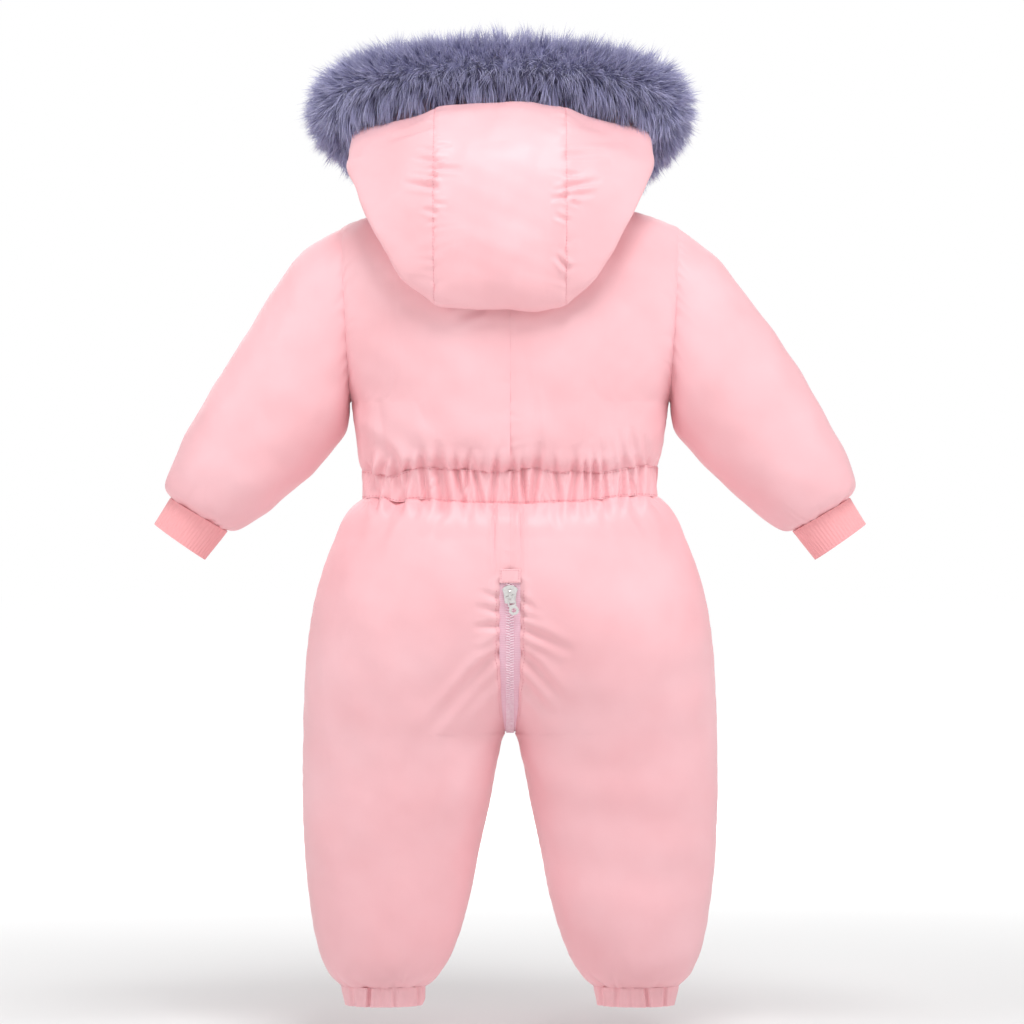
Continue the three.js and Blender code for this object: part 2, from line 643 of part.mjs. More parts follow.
// Fur trim: a fat roll along the hood's edge, as thick as its hair is long
function furTrim() {
  const path = [];
  const halfRoll = (side, rows) => rows.map((row) => {
    const way = vector(row.x, row.y, row.z).normalize();
    const edge = leaned(hoodSide(row.at, 0), side, row.at, 0);
    way.x *= side;
    return { middle: edge.addScaledVector(way, row.radius + seamGap + 0.5), radius: row.radius };
  });
  const crown = {
    middle: leaned(hoodTop(0), 1, 0, 0).addScaledVector(vector(0, -0.47, 0.88).normalize(), 39.5),
    radius: 39,
  };
  path.push(...halfRoll(1, furRows), crown, ...halfRoll(-1, [...furRows].reverse()));
  const line = new THREE.CatmullRomCurve3(path.map((p) => p.middle));
  const steps = 34;
  const outlines = [];
  for (let j = 0; j <= steps; j += 1) {
    const t = j / steps;
    const place = t * (path.length - 1);
    const i = Math.min(Math.floor(place), path.length - 2);
    const end = Math.min(j, steps - j);
    const round = end === 0 ? 0.55 : end === 1 ? 0.9 : 1;
    const radius = mix(path[i].radius, path[i + 1].radius, place - i) * round;
    const along = line.getTangent(t);
    const sideways = vector(0, 1, 0).addScaledVector(along, -along.y).normalize();
    const up = along.clone().cross(sideways);
    const middle = line.getPoint(t);
    outlines.push(even(furSides).slice(1).map((s) => middle.clone()
      .addScaledVector(sideways, radius * Math.cos(2 * Math.PI * s))
      .addScaledVector(up, radius * Math.sin(2 * Math.PI * s))));
  }
  return loft(outlines);
}

// A zip: a flat tape with a raised coil down its middle. line gives points (y, z) of the cloth's surface at the
// tape and the tape's half width there; the zip lies below that surface by tapeSink.
function zipTape(line) {
  return loft(line.map(({ y, z, half }, i) => {
    const before = line[Math.max(i - 1, 0)];
    const after = line[Math.min(i + 1, line.length - 1)];
    const along = vector(0, after.y - before.y, after.z - before.z).normalize();
    const out = vector(0, -along.z, along.y);
    const coil = Math.min(coilHalf, half * 0.6);
    const section = [
      [-half, 0], [-coil, 0], [-coil * 0.6, coilHeight], [coil * 0.6, coilHeight], [coil, 0], [half, 0],
      [half, -tapeThickness], [-half, -tapeThickness],
    ];
    const origin = vector(0, y, z).addScaledVector(out, -tapeSink);
    return section.map(([x, h]) => origin.clone().add(vector(x, 0, 0)).addScaledVector(out, h));
  }));
}

// Depth of the trousers' cloth at the edge of the middle gap
function gapEdge(face, z) {
  const outer = readHeight(trouserSections, "outer", z);
  const inner = readHeight(trouserSections, "inner", z);
  const half = (outer - inner) / 2;
  const edge = Math.max(readGap(face === "back" ? seatGap : frontGap, z), inner);
  const share = (edge - (outer + inner) / 2) / half;
  return readHeight(trouserSections, face, z) * Math.sqrt(Math.max(1 - share * share, 0));
}

function seatZipLine() {
  const down = [-317, -330, -345, -360, -375, -390, -405, -418, -430, -440, -448, -455, -460, -464];
  const up = [-464.5, -461];
  const edge = (gap, z) => readGap(gap, z) - 2 * seamGap;
  return [
    ...down.map((z) => ({ y: gapEdge("back", z), z, half: edge(seatGap, z) })),
    { y: 8, z: -466.4, half: 3.9 },
    { y: -8, z: -466.4, half: 3.6 },
    ...up.map((z) => ({ y: -gapEdge("front", z), z, half: edge(frontGap, z) - 1 })),
  ];
}

function frontZipLine() {
  const half = frontGap[0].half - seamGap;
  const body = even(9).map((t) => {
    const z = mix(-384, waistBottom, t);
    return { y: -gapEdge("front", z), z, half };
  });
  const band = [{ y: -60, z: -246, half }, { y: -60, z: -232, half }];
  const chest = even(9).map((t) => {
    const p = bodiceHalf("front").at(0, mix(0, 0.97, t));
    return { y: p.y, z: p.z, half };
  });
  return [...body, ...band, ...chest];
}

function solid(geometry) {
  const { position } = geometry.attributes;
  const keys = new Map();
  const points = [];
  const index = [];
  const order = geometry.index ? [...geometry.index.array] : Array.from({ length: position.count }, (_, i) => i);
  for (const i of order) {
    const p = [position.getX(i), position.getY(i), position.getZ(i)];
    const key = p.map((c) => c.toFixed(4)).join();
    if (!keys.has(key)) {
      keys.set(key, keys.size);
      points.push(...p);
    }
    index.push(keys.get(key));
  }
  return new wasm.Manifold(new wasm.Mesh({
    numProp: 3, vertProperties: new Float32Array(points), triVerts: new Uint32Array(index),
  }));
}

function geometryOf(manifold) {
  const mesh = manifold.getMesh();
  const geometry = new THREE.BufferGeometry();
  geometry.setAttribute("position", new THREE.BufferAttribute(mesh.vertProperties, 3));
  geometry.setIndex(new THREE.BufferAttribute(mesh.triVerts, 1));
  geometry.computeVertexNormals();
  return geometry;
}

// Slider, seen along +Y with its wide shoulders up: a shield-shaped plate and the bridge that holds the pull tab.
// Its own frame has x across, z up the zip and y away from the cloth, with the bridge's middle at z = 0.
function sliderGeometry() {
  const { top, bottom, length, thickness } = sliderPlate;
  const plate = new THREE.Shape();
  plate.moveTo(-bottom, -length / 2);
  plate.lineTo(bottom, -length / 2);
  plate.lineTo(top * 0.82, length * 0.12);
  plate.lineTo(top, length * 0.3);
  plate.quadraticCurveTo(top * 0.7, length / 2, 0, length / 2 + 0.6);
  plate.quadraticCurveTo(-top * 0.7, length / 2, -top, length * 0.3);
  plate.lineTo(-top * 0.82, length * 0.12);
  plate.closePath();
  const body = new THREE.ExtrudeGeometry(plate, { depth: thickness, bevelEnabled: false, curveSegments: 4 });
  body.rotateX(Math.PI / 2).translate(0, thickness, 0);
  const arch = new THREE.Shape();
  const half = bridge.length / 2;
  arch.moveTo(-half, -0.4);
  arch.lineTo(half, -0.4);
  arch.lineTo(half, bridge.height * 0.6);
  arch.quadraticCurveTo(half, bridge.height, half * 0.5, bridge.height);
  arch.lineTo(-half * 0.5, bridge.height);
  arch.quadraticCurveTo(-half, bridge.height, -half, bridge.height * 0.6);
  arch.closePath();
  const slot = new THREE.Path();
  const inside = half - bridge.wall;
  slot.moveTo(-inside, 0.4);
  slot.lineTo(-inside, bridge.height - bridge.wall);
  slot.lineTo(inside, bridge.height - bridge.wall);
  slot.lineTo(inside, 0.4);
  slot.closePath();
  arch.holes.push(slot);
  const loop = new THREE.ExtrudeGeometry(arch, { depth: bridge.width, bevelEnabled: false, curveSegments: 4 });
  loop.translate(0, 0, -bridge.width / 2).rotateY(-Math.PI / 2).translate(0, thickness, 0);
  return geometryOf(solid(body).add(solid(loop)));
}

// Pull tab, hanging from z = 0 in its own frame: a bar under the bridge, two arms, a plate and an open eye
function tabGeometry() {
  const { width, length, thickness, window, windowLength, bar, eye } = tab;
  const half = width / 2;
  const plate = new THREE.Shape();
  plate.moveTo(-half * 0.8, bar / 2);
  plate.lineTo(-half * 0.86, -windowLength * 0.8);
  plate.lineTo(-half * 0.72, -length + half * 1.8);
  plate.lineTo(-half, -length + half);
  plate.quadraticCurveTo(-half, -length, 0, -length);
  plate.quadraticCurveTo(half, -length, half, -length + half);
  plate.lineTo(half * 0.72, -length + half * 1.8);
  plate.lineTo(half * 0.86, -windowLength * 0.8);
  plate.lineTo(half * 0.8, bar / 2);
  plate.closePath();
  const opening = new THREE.Path();
  opening.moveTo(-window / 2, -bar / 2);
  opening.lineTo(window / 2, -bar / 2);
  opening.lineTo(window / 2, -windowLength);
  opening.lineTo(-window / 2, -windowLength);
  opening.closePath();
  const hole = new THREE.Path();
  const eyeAt = (t) => [eye * 1.15 * Math.cos(2 * Math.PI * t), -length + half * 0.95 + eye * Math.sin(2 * Math.PI * t)];
  hole.moveTo(...eyeAt(0));
  even(12).slice(1, -1).forEach((t) => hole.lineTo(...eyeAt(t)));
  hole.closePath();
  plate.holes.push(opening, hole);
  const geometry = new THREE.ExtrudeGeometry(plate, { depth: thickness, bevelEnabled: false, curveSegments: 5 });
  return geometry.translate(0, 0, -thickness / 2).rotateX(Math.PI / 2);
}

// Turns a slider or tab that was drawn facing +Y so that it lies on the zip at one height
function onZip(geometry, face, z, surface) {
  const sign = face === "back" ? 1 : -1;
  const above = surface(z + 8);
  const below = surface(z - 8);
  geometry.translate(0, -tapeSink + coilHeight + seamGap, 0);
  if (sign < 0) geometry.rotateZ(Math.PI);
  geometry.rotateX(-Math.atan2(above - below, 16));
  return geometry.translate(0, (above + below) / 2, z);
}

const seatSurface = (z) => gapEdge("back", z);
const chest = bodiceHalf("front");
const chestSurface = (z) => chest.at(0, mix(underarmRow, rollRow, (z - underarm.z) / (shoulderRoll - underarm.z))).y;

// Patch sewn over the top end of the seat zip
function zipEndPatch() {
  const { half, top, bottom, thickness } = endPatch;
  const outlines = even(4).map((t) => {
    const z = mix(top, bottom, t);
    const outer = readHeight(trouserSections, "outer", z);
    const inner = readHeight(trouserSections, "inner", z);
    const share = (half - (outer + inner) / 2) / ((outer - inner) / 2);
    const y = readHeight(trouserSections, "back", z) * Math.sqrt(1 - share * share) + 2 * seamGap;
    return [[-half, 0], [-half + 0.6, thickness], [half - 0.6, thickness], [half, 0]].map(([x, h]) => vector(x, y + h, z));
  });
  return loft(outlines);
}

// Materials
const finish = (color, roughness, metalness = 0) => new THREE.MeshStandardMaterial({ color, roughness, metalness });
const shell = finish(0xf9c4c9, 0.55);
const knit = finish(0xfbb0b0, 0.9);
const fur = finish(0x7c7a99, 0.95);
const tape = finish(0xefc0cf, 0.75);
const metal = finish(0xcfcdc6, 0.3, 1);

const suit = new THREE.Group();
function add(name, geometry, material, parent = suit) {
  const mesh = new THREE.Mesh(geometry, material);
  mesh.name = name;
  parent.add(mesh);
  return mesh;
}
function addPair(name, wall, material) {
  add(`${name}_left`, clothWall(wall), material);
  add(`${name}_right`, clothWall(mirrored(wall)), material);
}

addPair("bodice_back", bodiceHalf("back"), shell);
addPair("bodice_front", bodiceHalf("front"), shell);
add("waistband_back", clothWall(waistband(0.002, Math.PI - 0.002, waistGathers)), shell);
addPair("waistband_front", waistband(-0.002, -Math.PI / 2 + frontGap[0].half / 133, frontGathers), shell);
addPair("trouser_back", trouserQuarter("back"), shell);
addPair("trouser_front", trouserQuarter("front"), shell);
addPair("sleeve", sleeve(), shell);
addPair("wrist_cuff", wristCuff(), knit);
addPair("ankle_band", ankleBand(), shell);
add("hood_centre", clothWall(hoodCentrePanel()), shell);
add("hood_side_left", clothWall(hoodSidePanel(1)), shell);
add("hood_side_right", clothWall(hoodSidePanel(-1)), shell);
add("fur_trim", furTrim(), fur);
add("seat_zip", zipTape(seatZipLine()), tape);
add("front_zip", zipTape(frontZipLine()), tape);

add("seat_zip_end_patch", zipEndPatch(), shell);
const tabRest = (geometry) => geometry.translate(0, sliderPlate.thickness + bridge.height / 2 - 0.45, tab.rest);
add("seat_zip_slider", onZip(sliderGeometry(), "back", seatSliderZ, seatSurface), metal);
add("seat_zip_pull", onZip(tabRest(tabGeometry().rotateY(seatTabTilt)), "back", seatSliderZ, seatSurface), metal);
add("front_zip_slider", onZip(sliderGeometry(), "front", frontSliderZ, chestSurface), metal);
add("front_zip_pull", onZip(tabRest(tabGeometry()), "front", frontSliderZ, chestSurface), metal);

export default suit;
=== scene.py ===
"""Looks of a padded toddler snowsuit, seen from behind and filled out with nobody in it.

Everything is worked out in millimetres in the part's own frame: +Z up, the back facing +Y, the wearer's
left at +X, and the origin in the middle of the neck opening. Each sewn piece is a wall of cloth on the same
surface as its solid, with the gathers, creases and puckers of the filled cloth raised in its outside.
"""

import json
import logging
import math
from collections.abc import Callable, Sequence
from dataclasses import dataclass, field, replace
from enum import Enum

import bmesh
import bpy
import numpy as np
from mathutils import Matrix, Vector

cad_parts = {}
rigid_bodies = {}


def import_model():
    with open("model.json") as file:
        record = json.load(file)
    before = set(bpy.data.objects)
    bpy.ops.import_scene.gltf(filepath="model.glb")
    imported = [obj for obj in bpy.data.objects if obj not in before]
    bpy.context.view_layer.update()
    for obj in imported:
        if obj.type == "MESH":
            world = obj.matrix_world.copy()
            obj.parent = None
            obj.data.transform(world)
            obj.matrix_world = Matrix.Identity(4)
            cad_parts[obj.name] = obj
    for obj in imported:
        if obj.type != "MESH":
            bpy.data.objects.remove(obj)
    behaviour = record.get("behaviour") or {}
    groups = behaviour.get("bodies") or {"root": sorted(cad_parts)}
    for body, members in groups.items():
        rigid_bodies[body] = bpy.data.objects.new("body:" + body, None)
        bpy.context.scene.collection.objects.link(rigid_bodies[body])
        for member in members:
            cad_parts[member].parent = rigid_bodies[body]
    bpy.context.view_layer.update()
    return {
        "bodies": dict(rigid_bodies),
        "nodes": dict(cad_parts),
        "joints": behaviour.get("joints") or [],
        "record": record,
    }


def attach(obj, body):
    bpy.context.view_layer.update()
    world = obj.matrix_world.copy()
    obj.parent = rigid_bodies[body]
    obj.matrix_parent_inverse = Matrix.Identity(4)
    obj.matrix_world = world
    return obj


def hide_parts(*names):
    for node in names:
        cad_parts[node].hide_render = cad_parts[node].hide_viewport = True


Array = np.ndarray
Surface = Callable[[Array, Array], Array]
Lean = Callable[[Array, Array, Array], Array]
Colour = tuple[float, float, float]

LOG = logging.getLogger("snowsuit")
MM = 0.001
FLIP = np.array([-1.0, 1.0, 1.0])


class Face(Enum):
    """The side of the suit that a panel covers, with the sign of its Y."""

    BACK = 1
    FRONT = -1


class Edge(Enum):
    """The four sewn edges of a panel's grid."""

    LEFT = "u at 0"
    RIGHT = "u at 1"
    LOW = "v at 0"
    HIGH = "v at 1"


class Slot(Enum):
    """Material slots of the part."""

    SHELL = "shell"
    KNIT = "knit"
    FUR = "fur"
    TAPE = "tape"
    METAL = "metal"


def mix(a: Array | float, b: Array | float, share: Array | float) -> Array | float:
    """Straight step from a to b: a plus the share of their difference."""
    return a + (b - a) * share


def ease(x: Array | float, low: float, high: float) -> Array:
    """Smooth step: t squared times three minus two t, where t runs from 0 at low to 1 at high."""
    t = np.clip((np.asarray(x, float) - low) / (high - low), 0.0, 1.0)
    return t * t * (3 - 2 * t)


def xyz(x: Array | float, y: Array | float, z: Array | float) -> Array:
    """Points from their three coordinates, each an array or one number."""
    return np.stack(np.broadcast_arrays(np.asarray(x, float), y, z), axis=-1)


def unit(v: Array) -> Array:
    """Each vector divided by its own length."""
    return v / np.maximum(np.linalg.norm(v, axis=-1, keepdims=True), 1e-12)


def hermite(keys: Array, values: Array, at: Array | float) -> Array:
    """Smooth curve through rows of values.

    Between two rows it is the cubic that meets both values and both slopes. A slope is the mean of the two
    straight steps beside it, each weighed by the length of the other one.

    Args:
        keys: Where each row stands, in rising or falling order.
        values: One number or one point for each row.
        at: Where to read.

    Returns:
        The value at each place.
    """
    shape = (-1,) + (1,) * (values.ndim - 1)
    run = np.diff(keys).reshape(shape)
    rise = np.diff(values, axis=0) / run
    inner = (rise[:-1] * run[1:] + rise[1:] * run[:-1]) / (run[:-1] + run[1:])
    slope = np.concatenate([rise[:1], inner, rise[-1:]])
    order = 1.0 if keys[1] > keys[0] else -1.0
    at = np.asarray(at, float)
    i = np.clip(np.searchsorted(keys * order, at * order, side="right") - 1, 0, len(keys) - 2)
    t = np.clip((at - keys[i]) / (keys[i + 1] - keys[i]), 0.0, 1.0)
    t = t.reshape(t.shape + (1,) * (values.ndim - 1))
    a, b = values[i], values[i + 1]
    m0, m1 = slope[i] * run[i], slope[i + 1] * run[i]
    return a + t * m0 + t**2 * (3 * (b - a) - 2 * m0 - m1) + t**3 * (m0 + m1 - 2 * (b - a))


class Table:
    """Rows of sizes under named columns, read by one column or by row number."""

    def __init__(self, columns: str, *rows: Sequence[float], key: str | None = None) -> None:
        """Keeps the rows.

        Args:
            columns: Names of the columns, parted by spaces.
            rows: The sizes.
            key: The column that says where a row stands, or None for its number.
        """
        self.names = columns.split()
        self.values = np.array(rows, float)
        self.keys = self.column(key) if key else np.arange(len(rows), dtype=float)

    def column(self, name: str) -> Array:
        """All sizes under one name."""
        return self.values[:, self.names.index(name)]

    def read(self, name: str, at: Array | float) -> Array:
        """Smooth curve through one column."""
        return hermite(self.keys, self.column(name), at)

    def step(self, name: str, at: Array | float) -> Array:
        """Straight lines between the rows of one column, for a key that falls."""
        return np.interp(-np.asarray(at, float), -self.keys, self.column(name))


BODICE_SECTIONS = Table(
    "z side back front",
    (-225, 134, 64, 60),
    (-218, 137, 71, 66),
    (-205, 140, 76, 70),
    (-164, 146, 81, 74),
    (-110, 149, 84, 77),
    (-55, 152, 79, 70),
    key="z",
)
TROUSER_SECTIONS = Table(
    "z outer inner back front",
    (-253, 137, -111, 65, 61),
    (-262, 147, -110, 77, 69),
    (-290, 162, -98, 88, 75),
    (-340, 179, -72, 93, 78),
    (-390, 187, -46, 90, 78),
    (-430, 189.5, -22, 82, 74),
    (-455, 190.5, -4, 76, 70),
    (-467, 190.5, 4.5, 72, 67),
    (-490, 191, 11, 67, 63),
    (-529, 191, 18, 63, 60),
    (-575, 189, 28, 59, 57),
    (-621, 184.5, 37.5, 54, 53),
    (-660, 178, 49.5, 48, 47),
    (-680, 171.5, 58.5, 43, 42),
    (-692, 164, 67.5, 37, 36),
    (-699, 156, 76, 29.5, 29.5),
    key="z",
)
SEAT_GAP = Table(
    "z half",
    (-253, 0.01), (-316, 0.01), (-326.5, 9.3), (-400, 9.3), (-440, 7.5), (-467, 4.5),
    key="z",
)
FRONT_GAP = Table(
    "z half",
    (-253, 7.8), (-388, 7.8), (-393, 0.01), (-440, 0.01), (-455, 3), (-467, 4.5),
    key="z",
)
SLEEVE_SECTIONS = Table(
    "top_x top_z under_x under_z back front y",
    (155, -2, 146, -164, 52, 48, 0),
    (190, -29, 149, -178, 56, 52, 0),
    (220, -68, 155.5, -195, 56, 53, -1),
    (253, -114, 175, -218, 53, 51, -2),
    (283, -161, 198, -242, 49, 48, -3),
    (303, -198, 219, -261, 44, 44, -4),
    (314, -224, 236, -273.5, 38, 38, -5),
    (318, -240, 249, -281, 31, 31, -5.5),
    (313, -251, 260, -282, 21, 21, -6),
)
CUFF_SECTIONS = Table(
    "top_x top_z under_x under_z back front y",
    (313, -251, 260, -282, 21, 21, -6),
    (328, -275, 281, -308, 19, 19, -7),
)
HOOD_HOOPS = Table(
    "top_y top_z side_x side_y side_z angle",
    (6, 108, 137, -6, 84, 13),
    (34, 109, 138, 14, 72, 44),
    (66, 98, 138.5, 38, 58, 76),
    (94, 74, 137, 60, 44, 96),
    (112, 36, 130, 78, 24, 105),
    (119, -6, 119, 90, 0, 112),
    (115, -46, 105, 94, -24, 118),
    (106, -72, 91, 93, -45, 123),
    (95, -83, 79, 89, -56, 128),
    (87, -72, 71, 85, -52, 132),
    (83, -40, 63, 79, -32, 135.5),
    (72.5, -10, 55, 64, -9, 138.5),
    (48, -1.5, 43.9, 38.7, 4.1, 142),
)
FUR_ROWS = Table(
    "at radius x y z",
    (0.93, 20, 0.02, -0.82, 0.56),
    (0.85, 25, 0.02, -0.93, 0.34),
    (0.72, 30, 0.04, -0.97, 0.24),
    (0.58, 34, 0.12, -0.96, 0.26),
    (0.44, 38, 0.22, -0.86, 0.46),
    (0.3, 40, 0.24, -0.68, 0.7),
    (0.15, 40, 0.12, -0.52, 0.84),
    (0, 39, 0.02, -0.5, 0.86),
)

CREASE_COLUMNS = "x z to_x to_z width depth"
BACK_CREASES = Table(
    CREASE_COLUMNS,
    (97, -226, 140, -188, 6.4, 3.2),
    (113, -226, 130, -206, 3.7, 1.6),
    (27, -80, 57, -93, 4.6, 1.4),
    (-86, -226, -81, -196, 3.2, 1.7),
    (-105, -226, -99, -188, 2.8, 1.9),
    (-115, -226, -111, -186, 2.8, 1.8),
    (-126, -224, -122, -192, 2.8, 1.6),
    (-21, -226, -27, -200, 4.6, 1.9),
    (12, -226, 6, -196, 3.7, 1.5),
    (40, -226, 36, -206, 3.2, 1.5),
    (58, -226, 65, -198, 4.6, 2.2),
    (-55, -226, -58, -203, 3.7, 1.5),
    (72, -226, 81, -206, 3.7, 1.4),
)
SEAT_CREASES = Table(
    CREASE_COLUMNS,
    (60, -253, 71, -289, 4.6, 2.0),
    (36, -255, 40, -278, 3.7, 1.4),
    (-40, -255, -46, -280, 3.7, 1.5),
    (-82, -253, -93, -287, 4.6, 1.7),
    (104, -256, 126, -296, 6.4, 2.2),
    (-110, -256, -132, -291, 5.5, 2.0),
    (81, -255, 88, -273, 3.2, 1.3),
    (-66, -253, -70, -271, 3.2, 1.3),
    (14, -250, 13, -330, 1.8, 1.5),
    (-10, -250, -9, -330, 1.8, 1.2),
    (10, -341, 30, -334, 2.8, 1.2),
    (10, -353, 33, -349, 2.8, 1.4),
    (10, -366, 34, -368, 3.2, 1.7),
    (10, -379, 31, -392, 3.7, 1.8),
    (9, -390, 76, -465, 6, 3.0),
    (9, -408, 52, -458, 4.6, 1.8),
    (-12, -343, -24, -354, 2.8, 1.2),
    (-12, -368, -58, -390, 4.6, 2.2),
    (-11, -392, -50, -438, 5.1, 2.4),
    (-12, -381, -36, -394, 3.2, 1.4),
    (-10, -413, -40, -452, 4.6, 1.7),
    (-12, -357, -30, -364, 2.8, 1.3),
)
FRONT_CREASES = Table(
    CREASE_COLUMNS,
    (92, -226, 128, -192, 6, 2.6),
    (-88, -226, -118, -190, 5.5, 2.4),
    (44, -226, 50, -200, 4, 1.8),
    (-40, -226, -44, -198, 4, 1.7),
    (70, -253, 82, -290, 4.6, 2.0),
    (-62, -253, -73, -288, 4.6, 1.9),
    (30, -255, 33, -280, 3.7, 1.4),
    (-108, -256, -130, -294, 6, 2.0),
    (9, -350, 34, -366, 3.2, 1.5),
    (9, -374, 52, -412, 4.6, 2.0),
    (-9, -342, -30, -352, 3.2, 1.4),
    (-9, -366, -48, -398, 4.6, 2.0),
    (5, -400, 60, -462, 5.5, 2.6),
    (-5, -402, -58, -458, 5.5, 2.4),
)
WAIST_FOLDS = Table(
    CREASE_COLUMNS,
    (127, -222, 122, -256, 3.4, 2.2),
    (115, -222, 121, -256, 2.8, 1.9),
    (104, -222, 99, -256, 3.4, 2.0),
    (92, -222, 97, -256, 2.6, 1.5),
    (79, -222, 75, -256, 2.8, 1.7),
    (64, -222, 59, -256, 4.2, 3.1),
    (49, -222, 43, -256, 2.6, 1.9),
    (38, -222, 41, -256, 2.2, 1.3),
    (33, -222, 26, -256, 2.6, 1.6),
    (13, -222, 16, -256, 2.8, 1.8),
    (-4, -222, -3, -256, 2.4, 1.5),
    (-11, -222, -14, -256, 2.4, 1.6),
    (-25, -222, -20, -256, 3.2, 2.1),
    (-41, -222, -45, -256, 2.6, 1.6),
    (-60, -222, -56, -256, 3.0, 2.0),
    (-68, -222, -70, -256, 2.2, 1.3),
    (-77, -222, -76, -256, 2.8, 2.2),
    (-84, -222, -87, -256, 2.2, 1.4),
    (-103, -222, -101, -256, 2.6, 1.8),
    (-108, -222, -112, -256, 2.2, 1.5),
    (-118, -222, -117, -256, 2.8, 2.1),
)
HOOD_CREASES = Table(
    CREASE_COLUMNS,
    (67, 61, 84, 63, 2.2, 2.2),
    (67, 50.5, 88, 53, 2.4, 2.4),
    (67, 44, 80, 41, 2, 1.4),
    (67, 37, 92, 38, 2.4, 1.8),
    (67, 27, 98, 31, 3, 3.0),
    (67, 4, 80, 7, 2.4, 2.0),
    (67, -4, 76, -6, 2, 1.2),
    (66, 64.5, 52, 66, 2, 1.7),
    (66, 52, 55, 52, 2, 1.2),
    (66, 44.4, 42, 43, 2.6, 2.8),
    (66, 12, 55, 11, 2, 1.4),
    (73, 84, 110, 73, 3, 2.0),
    (-51, 70, -110, 73, 5, 1.6),
    (-51, 56, -90, 58, 3.6, 2.2),
    (-51, 39, -64, 38, 2.2, 1.8),
    (-51, 27, -82, 33, 2.8, 3.0),
    (-51, 20, -78, 21, 3.2, 2.0),
    (-51, 14, -64, 10, 2.2, 2.2),
    (-50, 26, -39, 22, 2.4, 1.7),
    (-50, 18, -36, 16, 2.6, 3.0),
    (-50, -3, -39, 2, 2.2, 1.9),
    (-50, -45, -40, -34, 2.4, 2.8),
)
ANKLE_PLEATS = Table(
    CREASE_COLUMNS,
    (128, -698, 129.5, -718, 1.5, 3.6),
    (145, -698, 143, -718, 1.8, 1.4),
    (105.5, -702, 106, -718, 1.8, 1.3),
    (84.5, -698, 84, -718, 1.3, 1.6),
    (80.5, -698, 81, -718, 1.1, 1.6),
    (77, -698, 77.5, -718, 1.3, 1.8),
    (118, -698, 116, -718, 2.4, 0.9),
    (-124, -698, -126, -718, 1.6, 2.6),
    (-98, -698, -97, -718, 1.8, 1.5),
    (-110, -698, -111, -718, 2.4, 1.0),
    (-142, -698, -141, -718, 1.4, 1.8),
    (-83, -698, -84, -718, 1.3, 1.7),
)
WAIST_LINE = Table(
    "x top bottom",
    (137, 0, 1),
    (121, -3.2, 2),
    (111, -5.4, 0.2),
    (101, -4.6, -2),
    (90, 0.6, 0.4),
    (63, 1, -1.5),
    (40, -0.6, -2.6),
    (15, -2, -3),
    (-4, -1.6, -3.4),
    (-18, 2, -3.4),
    (-36, -1.8, -2.2),
    (-66, -2, -1.5),
    (-85, -2.4, 1),
    (-105, 1, 3.4),
    (-118, 3.6, 4),
    (-134, 3, 3),
    key="x",
)


def waist_shift(column: str, points: Array) -> Array:
    """How far a gathered seam of the waist strays from level: its table behind, turned over in front."""
    return WAIST_LINE.read(column, points[..., 0]) * mix(1.0, -0.6, ease(-points[..., 1], 0, 40))


